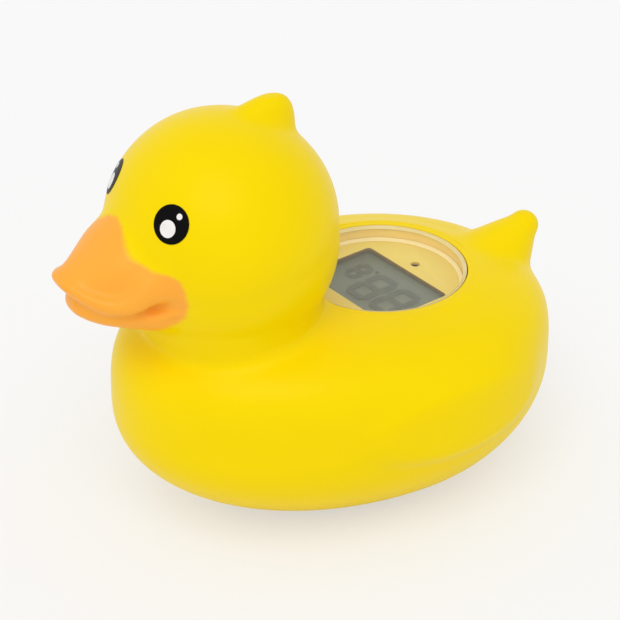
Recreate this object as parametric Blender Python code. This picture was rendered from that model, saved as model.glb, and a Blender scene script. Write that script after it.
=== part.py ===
"""Floating duck bath thermometer: soft duck shell, bill, printed eyes, display module and base.

Metres, +Z up. The duck faces -Y and rests on Z = 0, and X = 0 is its plane of symmetry.
"""
import bpy
import bmesh
from math import sin, cos, asin, pi, radians, sqrt
from mathutils import Vector, Matrix

for old in list(bpy.data.objects):
    bpy.data.objects.remove(old, do_unlink=True)

mm = 0.001

# fits between pieces
touch_gap = 0.3 * mm
print_gap = 0.3 * mm

# body
body_width = 76.6 * mm
body_front = 58.2 * mm
body_rear = 44.5 * mm
body_mid_y = 12.4 * mm
body_waist_z = 27.5 * mm
body_top_rear = 48.5 * mm
body_top_front = 50.8 * mm
belly_drop = 1.5 * mm
plan_power = 2.05
shoulder_power_rear = 3.5
shoulder_power_front = 4.3
belly_power = 2.3
shell_wall = 2.2 * mm
floor_wall = 2.4 * mm

# head and neck
head_radius = 24.6 * mm
head_y = -21.2 * mm
head_z = 70.9 * mm
neck_y = -20.4 * mm
neck_half_width = 20.2 * mm
neck_half_depth = 18.6 * mm
neck_z = 46.0 * mm
neck_power = 2.3

# crest on the head
crest_height = 1.8 * mm
crest_y = -8.8 * mm
crest_depth = 13.3 * mm
crest_front = 11.2 * mm
crest_rear = 5.9 * mm
crest_half_width = 5.5 * mm

# tail
tail_root_y = 43.5 * mm
tail_root_z = 34.5 * mm
tail_root_radius = 12.0 * mm
tail_tip_y = 56.6 * mm
tail_tip_z = 48.0 * mm
tail_tip_radius = 3.0 * mm

# wing relief on each flank
wing_rise = 1.1 * mm
wing_mid_y = 17.0 * mm
wing_mid_z = 31.5 * mm
wing_half_length = 28.0 * mm
wing_half_height = 11.5 * mm
wing_edge = 0.16

# bill
bill_reach = 38.3 * mm
bill_half_width = 15.3 * mm
bill_corner_half_width = 17.2 * mm
bill_lip_z = 67.0 * mm
bill_lip_thickness = 5.0 * mm
bill_bridge_height = 8.0 * mm
jaw_reach = 34.6 * mm
jaw_half_width = 14.2 * mm
jaw_mid_z = 59.4 * mm
jaw_depth = 12.4 * mm
bill_peg_radius = 4.0 * mm
bill_peg_length = 5.0 * mm
bill_peg_z = 66.0 * mm

# printed eyes, as directions seen from the middle of the head
eye_turn = radians(35.0)
eye_lift = radians(25.5)
eye_half_width = 3.8 * mm
eye_half_height = 4.05 * mm
eye_thickness = 0.8 * mm
eye_stand = 0.1 * mm
glint_thickness = 0.25 * mm
big_glint_half_width = 1.8 * mm
big_glint_half_height = 2.0 * mm
big_glint_forward = 0.55 * mm
big_glint_down = 1.1 * mm
small_glint_radius = 0.75 * mm
small_glint_back = 1.5 * mm
small_glint_up = 1.75 * mm

# display in the back
lens_radius = 19.1 * mm
neck_clearance = 0.9 * mm
display_y = neck_y + neck_half_depth + neck_clearance + lens_radius
display_turn = radians(8.0)
rim_z = 48.2 * mm
rim_width = 1.5 * mm
rim_cut_height = 4.0 * mm
lens_below_rim = 0.2 * mm
lens_thickness = 1.4 * mm
lens_skirt_depth = 0.6 * mm
lens_skirt_wall = 1.4 * mm
gasket_thickness = 0.5 * mm
mask_thickness = 0.8 * mm
collar_wall = 1.9 * mm
collar_depth = 9.0 * mm
window_width = 1.3822 * lens_radius
window_height = 0.911 * lens_radius
window_x = 0.021 * lens_radius
window_y = -0.0995 * lens_radius
window_corner = 1.0 * mm
glass_overlap = 0.35 * mm
glass_thickness = 0.8 * mm
segment_thickness = 0.2 * mm
segment_film = 0.15 * mm
frame_height = 2.7 * mm
frame_wall = 1.9 * mm
zebra_width = 1.5 * mm
board_thickness = 1.0 * mm
led_x = -0.0314 * lens_radius
led_y = 0.555 * lens_radius
led_radius = 1.5 * mm
led_hole_radius = 1.0 * mm

# digits
digit_height = 0.6437 * window_height
digit_width = 0.25 * window_width
digit_stroke = 0.19 * digit_width
digit_pitch = 1.303 * digit_width
first_digit_x = 0.318 * window_width
digit_drop = 0.6 * mm
small_digit_scale = 0.6
digit_gap = 0.25 * mm
point_half = 0.45 * mm

# housing tube between the back and the base
housing_wall = 1.0 * mm
housing_ledge = 3.5 * mm
housing_cup_depth = 11.1 * mm
housing_floor = 1.4 * mm
board_z = 36.9 * mm
stem_radius = 16.9 * mm
stem_wall = 1.4 * mm
board_screw_radius = 0.8 * mm
board_screw_head_radius = 1.6 * mm
board_screw_head = 1.0 * mm
board_screw_length = 3.2 * mm
board_screw_inset = 1.9 * mm
board_screw_circle = lens_radius - housing_wall - board_screw_inset
board_screw_angles = (50.0, 130.0, 270.0)

# parts under the circuit board
chip_radius = 3.6 * mm
chip_height = 1.5 * mm
chip_x = -4.0 * mm
chip_y = 2.0 * mm
crystal_radius = 1.3 * mm
crystal_length = 6.0 * mm
crystal_x = 6.5 * mm
crystal_y = -2.0 * mm

# base plate, battery tray and door
base_radius = 17.3 * mm
base_thickness = 3.9 * mm
base_seal_thickness = 0.7 * mm
base_seal_width = 1.1 * mm
cell_radius = 5.8 * mm
cell_height = 5.4 * mm
cell_half_spacing = 6.1 * mm
cell_y = 4.6 * mm
tray_wall = 1.2 * mm
tray_roof = 1.0 * mm
door_thickness = 1.75 * mm
door_below = 0.15 * mm
door_overlap = 1.5 * mm
door_ear_radius = 2.9 * mm
door_ear_y = -3.4 * mm
door_seal_thickness = 0.3 * mm
door_seal_width = 0.7 * mm
door_screw_radius = 0.8 * mm
door_screw_head_radius = 1.6 * mm
door_screw_head = 0.8 * mm
door_screw_length = 3.0 * mm
contact_thickness = 0.3 * mm
contact_half_width = 3.0 * mm
contact_tab_width = 1.6 * mm
contact_tab_height = 2.8 * mm
link_half_width = 3.4 * mm

# probe and water contacts in the base plate
probe_y = -11.2 * mm
probe_radius = 2.4 * mm
probe_wall = 0.5 * mm
probe_flange = 0.7 * mm
probe_height = 5.2 * mm
probe_flange_thickness = 0.7 * mm
sensor_radius = 1.3 * mm
stud_x = 8.0 * mm
stud_y = -8.0 * mm
stud_radius = 1.2 * mm
stud_head_radius = 2.0 * mm
stud_head_thickness = 0.8 * mm
stud_length = 5.4 * mm
wire_radius = 0.55 * mm
pad_circle = lens_radius - housing_wall - housing_ledge
supply_pad_x = 0.65 * pad_circle
supply_pad_y = 0.514 * pad_circle
sensor_pad_y = -0.616 * pad_circle
contact_pad_x = 0.548 * pad_circle
contact_pad_y = -0.65 * pad_circle
wire_bow = 2.0 * mm

# mesh fineness
body_columns = 52
body_rows = 20
hollow_columns = 28
hollow_rows = 10
head_columns = 36
head_rows = 12
neck_rows = 5
tube_sides = 36
small_sides = 14


def surface(name, color, roughness, metallic=0.0, alpha=1.0):
    mat = bpy.data.materials.new(name)
    mat.use_nodes = True
    shader = mat.node_tree.nodes["Principled BSDF"]
    shader.inputs["Base Color"].default_value = (*color, 1.0)
    shader.inputs["Roughness"].default_value = roughness
    shader.inputs["Metallic"].default_value = metallic
    shader.inputs["Alpha"].default_value = alpha
    mat.diffuse_color = (*color, alpha)
    return mat


def finish_object(name, bm, mat, flat=30.0):
    bmesh.ops.recalc_face_normals(bm, faces=bm.faces)
    mesh = bpy.data.meshes.new(name)
    bm.to_mesh(mesh)
    bm.free()
    obj = bpy.data.objects.new(name, mesh)
    bpy.context.scene.collection.objects.link(obj)
    if mat:
        mesh.materials.append(mat)
    mesh.shade_smooth()
    mesh.set_sharp_from_angle(angle=radians(flat))
    return obj


def skin_rings(bm, rings, closed_ends=True):
    """Join a list of equal rings of points with quads and cap the two ends."""
    loops = [[bm.verts.new(p) for p in ring] for ring in rings]
    count = len(loops[0])
    for low, high in zip(loops, loops[1:]):
        for i in range(count):
            j = (i + 1) % count
            bm.faces.new((low[i], low[j], high[j], high[i]))
    if closed_ends:
        for loop in (loops[0], loops[-1]):
            middle = sum((v.co for v in loop), Vector()) / count
            hub = bm.verts.new(middle)
            for i in range(count):
                bm.faces.new((loop[i], loop[(i + 1) % count], hub))


def lofted(name, rings, mat=None):
    bm = bmesh.new()
    skin_rings(bm, rings)
    return finish_object(name, bm, mat)


def turned(name, profile, center, sides, mat=None):
    """Turn a closed outline of (radius, height) points about a vertical axis."""
    bm = bmesh.new()
    columns = []
    for r, z in profile:
        if r < 1e-9:
            columns.append([bm.verts.new((center[0], center[1], z))] * sides)
        else:
            columns.append([bm.verts.new((center[0] + r * cos(2 * pi * k / sides),
                                          center[1] + r * sin(2 * pi * k / sides), z))
                            for k in range(sides)])
    total = len(columns)
    for a in range(total):
        b = (a + 1) % total
        if profile[a][0] < 1e-9 and profile[b][0] < 1e-9:
            continue
        for k in range(sides):
            n = (k + 1) % sides
            corners = []
            for v in (columns[a][k], columns[a][n], columns[b][n], columns[b][k]):
                if v not in corners:
                    corners.append(v)
            bm.faces.new(corners)
    return finish_object(name, bm, mat)


def prism(name, outline, z_low, z_high, mat=None):
    """Extrude a flat outline of (x, y) points between two heights."""
    bm = bmesh.new()
    base = bm.faces.new([bm.verts.new((x, y, z_low)) for x, y in outline])
    grown = bmesh.ops.extrude_face_region(bm, geom=[base])
    moved = [g for g in grown["geom"] if isinstance(g, bmesh.types.BMVert)]
    bmesh.ops.translate(bm, vec=(0, 0, z_high - z_low), verts=moved)
    return finish_object(name, bm, mat)


def disc(name, x, y, radius, z_low, z_high, sides=small_sides, mat=None):
    return prism(name, circle(x, y, radius, sides), z_low, z_high, mat)


def circle(x, y, radius, sides):
    return [(x + radius * cos(2 * pi * k / sides), y + radius * sin(2 * pi * k / sides))
            for k in range(sides)]


def round_box(x, y, half_x, half_y, corner, steps=4):
    points = []
    for quarter, (sx, sy) in enumerate(((1, 1), (-1, 1), (-1, -1), (1, -1))):
        for k in range(steps + 1):
            a = pi / 2 * (quarter + k / steps)
            points.append((x + sx * (half_x - corner) + corner * cos(a),
                           y + sy * (half_y - corner) + corner * sin(a)))
    return points


def stadium(x, y, half_spacing, radius, steps=8):
    points = []
    for k in range(steps + 1):
        a = -pi / 2 + pi * k / steps
        points.append((x + half_spacing + radius * cos(a), y + radius * sin(a)))
    for k in range(steps + 1):
        a = pi / 2 + pi * k / steps
        points.append((x - half_spacing + radius * cos(a), y + radius * sin(a)))
    return points


def module_xy(x, y):
    """A point of the display module, which sits slightly turned in the back."""
    return (x * cos(display_turn) - y * sin(display_turn),
            display_y + x * sin(display_turn) + y * cos(display_turn))


def in_module(points):
    return [module_xy(x, y) for x, y in points]


def boolean(target, tool, operation):
    mod = target.modifiers.new(operation.title() + " " + tool.name, "BOOLEAN")
    mod.operation = operation
    mod.solver = "EXACT"
    mod.object = tool
    tool.hide_render = True
    tool.display_type = "WIRE"
    return mod


def cut(target, tool):
    return boolean(target, tool, "DIFFERENCE")


def join(target, tool):
    return boolean(target, tool, "UNION")


yellow = surface("duck_yellow", (0.91, 0.66, 0.005), 0.42)
orange = surface("bill_orange", (0.95, 0.42, 0.07), 0.42)
eye_black = surface("print_black", (0.012, 0.011, 0.011), 0.35)
eye_white = surface("print_white", (0.88, 0.86, 0.83), 0.4)
clear = surface("clear_plastic", (0.93, 0.95, 0.93), 0.05, alpha=0.25)
glass = surface("lcd_glass", (0.62, 0.68, 0.6), 0.08, alpha=0.35)
lcd_grey = surface("lcd_grey", (0.25, 0.3, 0.23), 0.3)
lcd_dark = surface("lcd_segments", (0.1, 0.13, 0.11), 0.35)
mask_yellow = surface("mask_yellow", (0.85, 0.62, 0.12), 0.5)
white_plastic = surface("white_plastic", (0.8, 0.79, 0.75), 0.5)
board_green = surface("board_green", (0.03, 0.2, 0.07), 0.45)
epoxy_black = surface("epoxy_black", (0.02, 0.02, 0.02), 0.3)
rubber_grey = surface("rubber_grey", (0.2, 0.2, 0.21), 0.8)
zebra_pink = surface("zebra_rubber", (0.75, 0.45, 0.42), 0.7)
steel = surface("steel", (0.62, 0.62, 0.6), 0.25, 1.0)
brass = surface("nickel_plate", (0.72, 0.7, 0.62), 0.3, 1.0)
led_red = surface("led_red", (0.7, 0.03, 0.02), 0.15)
wire_red = surface("wire_red", (0.6, 0.02, 0.02), 0.5)
wire_black = surface("wire_black", (0.02, 0.02, 0.02), 0.5)
wire_white = surface("wire_white", (0.8, 0.8, 0.78), 0.5)


def smooth(t):
    t = max(0.0, min(1.0, t))
    return t * t * (3 - 2 * t)


def wing_mask(y, z):
    """One inside the leaf-shaped wing, nought outside, softer along its upper edge."""
    u = (y - wing_mid_y) / wing_half_length
    v = (z - wing_mid_z) / wing_half_height
    reach = (abs(u) ** 2.3 + abs(v) ** 2.3) ** (1 / 2.3)
    softness = wing_edge + 0.3 * smooth(v)
    return smooth((1 - reach) / softness)


def body_rings(inset, bottom, relief, columns, rows):
    """Rings of the body from its underside to its back, moved inward by inset."""
    def height(u, power, top):
        k = 2 / power
        s = abs(sin(u)) ** k
        if u > 0:
            return body_waist_z + (top - inset - body_waist_z) * s
        return body_waist_z - (body_waist_z - bottom) * s

    # angles that give rings of about even spacing down the flank
    fine = 400
    path = []
    for k in range(fine + 1):
        u = -pi / 2 + pi * k / fine
        power = shoulder_power_rear if u > 0 else belly_power
        reach = cos(u) ** (2 / power) if k not in (0, fine) else 0.0
        path.append((u, reach * (body_width / 2 - inset), height(u, power, body_top_rear)))
    travel = [0.0]
    for a, b in zip(path, path[1:]):
        travel.append(travel[-1] + sqrt((a[1] - b[1]) ** 2 + (a[2] - b[2]) ** 2))
    angles = []
    k = 0
    for row in range(1, rows):
        goal = travel[-1] * row / rows
        while travel[k + 1] < goal:
            k += 1
        share = (goal - travel[k]) / (travel[k + 1] - travel[k])
        angles.append(path[k][0] + share * (path[k + 1][0] - path[k][0]))

    rings = []
    for u in angles:
        ring = []
        for c in range(columns):
            t = 2 * pi * c / columns
            front = ((1 - sin(t)) / 2) ** 1.5
            power = belly_power
            if u > 0:
                power = shoulder_power_rear + (shoulder_power_front - shoulder_power_rear) * front
            top = body_top_rear + (body_top_front - body_top_rear) * front
            reach = cos(u) ** (2 / power)
            cx = abs(cos(t)) ** (2 / plan_power) * (1 if cos(t) >= 0 else -1)
            cy = abs(sin(t)) ** (2 / plan_power) * (1 if sin(t) >= 0 else -1)
            length = (body_front if sin(t) < 0 else body_rear) - inset
            x = (body_width / 2 - inset) * cx * reach
            y = body_mid_y + length * cy * reach
            z = height(u, power, top)
            if relief and abs(x) > 0.3 * body_width / 2:
                x += wing_rise * wing_mask(y, z) * (1 if x > 0 else -1)
            ring.append(Vector((x, y, z)))
        rings.append(ring)
    return rings


def ellipse_ring(x_half, y_half, y, z, power, columns):
    ring = []
    for c in range(columns):
        t = 2 * pi * c / columns
        cx = abs(cos(t)) ** (2 / power) * (1 if cos(t) >= 0 else -1)
        cy = abs(sin(t)) ** (2 / power) * (1 if sin(t) >= 0 else -1)
        ring.append(Vector((x_half * cx, y + y_half * cy, z)))
    return ring


def head_rings(inset, columns, low_rows, high_rows):
    """A ball whose underside draws in to the neck and runs down into the back."""
    ball = head_radius - inset
    join_z = head_z - 0.28 * head_radius
    join_radius = sqrt(head_radius ** 2 - (head_z - join_z) ** 2)
    lean = (head_z - join_z) / join_radius
    drop = join_z - neck_z
    rings = []
    for k in range(-1, low_rows):
        s = k / low_rows
        up = max(s, 0.0)
        wide = neck_half_width + (join_radius - neck_half_width) * up ** (lean * drop / (join_radius - neck_half_width))
        deep = neck_half_depth + (join_radius - neck_half_depth) * up ** (lean * drop / (join_radius - neck_half_depth))
        middle = neck_y + (head_y - neck_y) * up
        power = neck_power + (2 - neck_power) * smooth(up)
        rings.append(ellipse_ring(wide - inset, deep - inset, middle, neck_z + s * drop, power, columns))
    start = -asin((head_z - join_z) / head_radius)
    for k in range(high_rows):
        a = start + (pi / 2 - start) * k / high_rows
        rings.append(ellipse_ring(ball * cos(a), ball * cos(a), head_y, head_z + ball * sin(a), 2, columns))
    return rings


# duck shell: outside forms joined, then hollowed
duck_shell = lofted("duck_shell", body_rings(0, -belly_drop, True, body_columns, body_rows), yellow)

head_form = lofted("head_form", head_rings(0, head_columns, neck_rows, head_rows))
join(duck_shell, head_form)

crest_rings = []
crest_top = head_z + head_radius + crest_height
for q in (0.0, 0.3, 0.55, 0.73, 0.86, 0.94, 0.985):
    front = crest_y - crest_front * sqrt(1 - q ** 2.75)
    rear = crest_y + crest_rear * sqrt(1 - q ** 5.3)
    wide = crest_half_width * sqrt(1 - q ** 2.6)
    crest_rings.append(ellipse_ring(wide, (rear - front) / 2, (rear + front) / 2,
                                    crest_top - crest_depth * (1 - q), 2, 16))
crest_form = lofted("crest_form", crest_rings)
join(duck_shell, crest_form)

tail_start = Vector((0, tail_root_y, tail_root_z))
tail_end = Vector((0, tail_tip_y, tail_tip_z))
tail_way = (tail_end - tail_start).normalized()
tail_up = Vector((1, 0, 0)).cross(tail_way)
tail_length = (tail_end - tail_start).length
tail_rings = []
for k in range(6):
    s = k / 5
    radius = tail_root_radius + (tail_tip_radius - tail_root_radius) * s ** 0.95
    middle = tail_start + tail_way * tail_length * s
    tail_rings.append([middle + radius * (Vector((1, 0, 0)) * cos(2 * pi * c / 16)
                                          + tail_up * sin(2 * pi * c / 16)) for c in range(16)])
for k in (1, 2):
    a = pi / 2 * k / 3
    middle = tail_end + tail_way * tail_tip_radius * sin(a)
    tail_rings.append([middle + tail_tip_radius * cos(a) * (Vector((1, 0, 0)) * cos(2 * pi * c / 16)
                                                            + tail_up * sin(2 * pi * c / 16))
                       for c in range(16)])
tail_form = lofted("tail_form", tail_rings)
join(duck_shell, tail_form)

body_hollow = lofted("body_hollow", body_rings(shell_wall, floor_wall, False, hollow_columns, hollow_rows))
head_hollow = lofted("head_hollow", head_rings(shell_wall, hollow_columns, 4, 7))
cut(duck_shell, body_hollow)
cut(duck_shell, head_hollow)

# round opening in the back, with a level rim and a collar below it
opening_radius = lens_radius + touch_gap
rim_level = disc("rim_level", 0, display_y, opening_radius + rim_width, rim_z, rim_z + rim_cut_height, tube_sides)
collar = disc("collar", 0, display_y, opening_radius + collar_wall, rim_z - collar_depth, rim_z, tube_sides)
back_opening = disc("back_opening", 0, display_y, opening_radius, rim_z - 2 * collar_depth,
                    rim_z + rim_cut_height / 2, tube_sides)
cut(duck_shell, rim_level)
join(duck_shell, collar)
cut(duck_shell, back_opening)

# base opening and flat underside
base_opening = disc("base_opening", 0, display_y, base_radius + touch_gap, -3 * floor_wall, 3 * floor_wall, tube_sides)
ground_cut = prism("ground_cut", round_box(0, body_mid_y, body_width, body_front + body_rear, floor_wall),
                   -8 * floor_wall, 0)
cut(duck_shell, ground_cut)
cut(duck_shell, base_opening)


def head_point(turn, lift, u, v, radius):
    """A point near the head's surface, offset across the eye by u and up it by v."""
    out = Vector((sin(turn) * cos(lift), -cos(turn) * cos(lift), sin(lift)))
    side = Vector((cos(turn), sin(turn), 0))
    up = Vector((-sin(turn) * sin(lift), cos(turn) * sin(lift), cos(lift)))
    depth = sqrt(radius ** 2 - u ** 2 - v ** 2)
    return Vector((0, head_y, head_z)) + out * depth + side * u + up * v


def head_patch(name, turn, u, v, half_u, half_v, outer, inner, mat, sides=24):
    """A thin printed oval that follows the head."""
    bm = bmesh.new()
    shells = []
    for radius in (outer, inner):
        hub = bm.verts.new(head_point(turn, eye_lift, u, v, radius))
        loops = []
        for share in (0.5, 1.0):
            loops.append([bm.verts.new(head_point(turn, eye_lift,
                                                  u + half_u * share * cos(2 * pi * k / sides),
                                                  v + half_v * share * sin(2 * pi * k / sides), radius))
                          for k in range(sides)])
        shells.append((hub, loops))
    for hub, loops in shells:
        for k in range(sides):
            n = (k + 1) % sides
            bm.faces.new((hub, loops[0][k], loops[0][n]))
            bm.faces.new((loops[0][k], loops[1][k], loops[1][n], loops[0][n]))
    top = shells[0][1][1]
    low = shells[1][1][1]
    for k in range(sides):
        n = (k + 1) % sides
        bm.faces.new((top[k], low[k], low[n], top[n]))
    return finish_object(name, bm, mat)


for side, sign in (("left", 1), ("right", -1)):
    turn = eye_turn * sign
    face = head_radius + eye_stand
    back = face - eye_thickness
    pocket = head_patch("eye_pocket_" + side, turn, 0, 0, eye_half_width + print_gap,
                        eye_half_height + print_gap, head_radius + 2 * mm, back - print_gap, None)
    cut(duck_shell, pocket)
    eye = head_patch("eye_" + side, turn, 0, 0, eye_half_width, eye_half_height, face, back, eye_black)
    glint_face = face + 0.05 * mm
    glint_back = glint_face - glint_thickness
    for size, u, v, half_u, half_v in (
            ("large", -big_glint_forward * sign, -big_glint_down, big_glint_half_width, big_glint_half_height),
            ("small", small_glint_back * sign, small_glint_up, small_glint_radius, small_glint_radius)):
        seat = head_patch("glint_seat_" + size + "_" + side, turn, u, v, half_u + 0.1 * mm, half_v + 0.1 * mm,
                          head_radius + 2 * mm, glint_back - 0.15 * mm, None, 14)
        cut(eye, seat)
        head_patch("eye_glint_" + size + "_" + side, turn, u, v, half_u, half_v,
                   glint_face, glint_back, eye_white, 14)


# bill: broad upper lip with a bridge, smaller lower jaw, seated on the head by a peg
def bill_ring(y, half_width, z, up, down, bridge, columns=26):
    ring = []
    for c in range(columns):
        t = 2 * pi * c / columns
        x = half_width * abs(cos(t)) ** 0.8 * (1 if cos(t) >= 0 else -1)
        if sin(t) >= 0:
            lift = up * sin(t) ** 0.9
            lift += bridge * sin(t) * (1 - smooth(abs(x) / (0.62 * half_width)))
        else:
            lift = -down * abs(sin(t)) ** 0.9
        ring.append(Vector((x, y, z + lift)))
    return ring


upper_rings = []
for s in (0.38, 0.52, 0.64, 0.75, 0.85, 0.92, 0.97, 1.0):
    y = head_y - bill_reach * s
    free = max(0.0, (s - 0.5) / 0.5)
    waist = bill_corner_half_width + (bill_half_width - 1.2 * mm - bill_corner_half_width) * smooth(free / 0.45)
    wide = waist + 1.2 * mm * smooth((free - 0.3) / 0.4)
    nose = sqrt(max(1 - max(0.0, (s - 0.78) / 0.235) ** 2.4, 0))
    droop = -1.0 * mm * sin(pi * min(free / 0.9, 1.0)) + 0.9 * mm * smooth((free - 0.55) / 0.45)
    thick = bill_lip_thickness / 2 * (0.35 + 0.65 * nose)
    bridge = bill_bridge_height * (1 - smooth(free / 0.75))
    upper_rings.append(bill_ring(y, wide * nose, bill_lip_z + droop, thick * 1.1, thick * 0.9, bridge))
bill = lofted("bill", upper_rings, orange)

jaw_rings = []
for s in (0.42, 0.58, 0.72, 0.84, 0.93, 0.98):
    y = head_y - jaw_reach * s
    nose = sqrt(max(1 - max(0.0, (s - 0.5) / 0.5) ** 2.2, 0))
    z = jaw_mid_z + 2.6 * mm * smooth((s - 0.55) / 0.45)
    jaw_rings.append(bill_ring(y, jaw_half_width * nose, z, jaw_depth * 0.42 * nose ** 1.6 + 0.6 * mm,
                               jaw_depth * 0.58 * nose + 0.2 * mm, 0, 22))
jaw_form = lofted("jaw_form", jaw_rings)
join(bill, jaw_form)

head_clear = lofted("head_clear", head_rings(-touch_gap, head_columns, neck_rows, head_rows))
cut(bill, head_clear)


def along_y(name, radius, y_front, y_back, z, sides):
    rings = []
    for y in (y_front, y_back):
        rings.append([Vector((radius * cos(2 * pi * k / sides), y, z + radius * sin(2 * pi * k / sides)))
                      for k in range(sides)])
    return lofted(name, rings)


face_y = head_y - head_radius
peg_form = along_y("peg_form", bill_peg_radius, face_y - 2 * mm, face_y + bill_peg_length, bill_peg_z, 24)
join(bill, peg_form)
peg_hole = along_y("peg_hole", bill_peg_radius + touch_gap, face_y - 6 * mm,
                   face_y + bill_peg_length + 2 * mm, bill_peg_z, 24)
cut(duck_shell, peg_hole)

# display: clear lens, gasket and masked window
lens_top = rim_z - lens_below_rim
lens_under = lens_top - lens_thickness
skirt_low = lens_under - lens_skirt_depth
axis = (0, display_y)
display_lens = turned("display_lens", [
    (0, lens_top), (lens_radius - 0.3 * mm, lens_top), (lens_radius, lens_top - 0.3 * mm),
    (lens_radius, skirt_low), (lens_radius - lens_skirt_wall, skirt_low),
    (lens_radius - lens_skirt_wall, lens_under), (0, lens_under)], axis, tube_sides, clear)

gasket_top = skirt_low - touch_gap
gasket_low = gasket_top - gasket_thickness
lens_gasket = turned("lens_gasket", [
    (lens_radius, gasket_top), (lens_radius, gasket_low),
    (lens_radius - lens_skirt_wall, gasket_low), (lens_radius - lens_skirt_wall, gasket_top)],
    axis, tube_sides, rubber_grey)

mask_top = gasket_low - touch_gap
mask_low = mask_top - mask_thickness
mask_plate = prism("mask_plate", circle(0, display_y, lens_radius, tube_sides), mask_low, mask_top, mask_yellow)
window_cut = prism("window_cut", in_module(round_box(window_x, window_y, window_width / 2,
                                                     window_height / 2, window_corner)),
                   mask_low - 2 * mm, mask_top + 2 * mm)
cut(mask_plate, window_cut)
led_spot = module_xy(led_x, led_y)
led_hole = disc("led_hole", *led_spot, led_hole_radius, mask_low - 2 * mm, mask_top + 2 * mm)
cut(mask_plate, led_hole)

# liquid crystal panel: two glasses with the segment layer between
glass_outline = in_module(round_box(window_x, window_y, window_width / 2 + glass_overlap,
                                    window_height / 2 + glass_overlap, 0.5 * mm, 2))
front_top = mask_low - touch_gap
front_low = front_top - glass_thickness
lcd_front_glass = prism("lcd_front_glass", glass_outline, front_low, front_top, glass)
layer_top = front_low - touch_gap
layer_low = layer_top - segment_thickness - segment_film
film_top = layer_low + segment_film
lcd_segments = prism("lcd_segments", glass_outline, layer_low, film_top, lcd_dark)
rear_top = layer_low - touch_gap
rear_low = rear_top - glass_thickness
lcd_rear_glass = prism("lcd_rear_glass", glass_outline, rear_low, rear_top, lcd_grey)


def seven_bars(x, y, wide, high, stroke):
    """The seven bars of one digit: half-size boxes around its middle."""
    bars = []
    bar_x = wide - stroke - 2 * digit_gap
    bar_y = high / 2 - stroke - 1.5 * digit_gap
    for level in (-1, 0, 1):
        bars.append((x, y + level * (high - stroke) / 2, bar_x / 2, stroke / 2))
    for side in (-1, 1):
        for level in (-1, 1):
            bars.append((x + side * (wide - stroke) / 2, y + level * (high - stroke) / 4,
                         stroke / 2, bar_y / 2 + digit_gap / 2))
    return bars


# the display reads from the tail, so its left is at +X and its top towards the head
digit_y = window_y - digit_drop
tenths_high = digit_height * small_digit_scale
marks = []
marks += seven_bars(first_digit_x, digit_y, digit_width, digit_height, digit_stroke)
marks += seven_bars(first_digit_x - digit_pitch, digit_y, digit_width, digit_height, digit_stroke)
marks += seven_bars(first_digit_x - 1.92 * digit_pitch, digit_y + (digit_height - tenths_high) / 2,
                    digit_width * small_digit_scale, tenths_high, digit_stroke * 0.75)
marks.append((first_digit_x - 1.5 * digit_pitch, digit_y + digit_height / 2 - point_half, point_half, point_half))
degree_x = first_digit_x - 1.78 * digit_pitch
degree_y = digit_y - digit_height / 2 + 3.55 * point_half
for dx, dy, hx, hy in ((2.0, -2.45, 1.0, 0.35), (2.0, -0.2, 1.0, 0.35), (-1.55, -2.65, 1.55, 0.45),
                       (0.1, 0.0, 0.45, 2.1), (-1.55, 2.65, 1.55, 0.45)):
    marks.append((degree_x + dx * point_half, degree_y + dy * point_half, hx * point_half, hy * point_half))
for number, (x, y, half_x, half_y) in enumerate(marks):
    corner = [(x - half_x, y - half_y), (x + half_x, y - half_y), (x + half_x, y + half_y), (x - half_x, y + half_y)]
    bar = prism("segment_%02d" % number, in_module(corner), film_top - 0.05 * mm, layer_top)
    join(lcd_segments, bar)

# carrier frame and rubber connector between the panel and the circuit board
frame_top = rear_low - touch_gap
frame_low = frame_top - frame_height
board_top = frame_low - touch_gap
lcd_frame = prism("lcd_frame", glass_outline, frame_low, frame_top, white_plastic)
frame_void = prism("frame_void", in_module(round_box(window_x, window_y, window_width / 2 + glass_overlap - frame_wall,
                                                     window_height / 2 + glass_overlap - frame_wall, 0.5 * mm, 2)),
                   frame_low - 2 * mm, frame_top + 2 * mm)
cut(lcd_frame, frame_void)
strip_y = window_y - window_height / 2 - glass_overlap + frame_wall + touch_gap + zebra_width / 2
strip_half = window_width / 2 + glass_overlap - frame_wall - touch_gap
zebra_strip = prism("zebra_strip", in_module(round_box(window_x, strip_y, strip_half, zebra_width / 2, 0.2 * mm, 1)),
                    frame_low, frame_top, zebra_pink)

# housing: cup for the display, ledge for the board, stem down to the base plate
cup_top = mask_low - touch_gap
board_low = board_top - board_thickness
ledge_top = board_low - touch_gap
cup_low = cup_top - housing_cup_depth
base_top = base_thickness
seal_low = base_top + touch_gap
seal_top = seal_low + base_seal_thickness
stem_low = seal_top + touch_gap
cup_inner = lens_radius - housing_wall
display_housing = turned("display_housing", [
    (lens_radius, cup_top), (lens_radius, cup_low), (stem_radius, cup_low), (stem_radius, stem_low),
    (stem_radius - stem_wall, stem_low), (stem_radius - stem_wall, cup_low + housing_floor),
    (cup_inner - housing_ledge, cup_low + housing_floor), (cup_inner - housing_ledge, ledge_top),
    (cup_inner, ledge_top), (cup_inner, cup_top)], axis, tube_sides, white_plastic)

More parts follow.
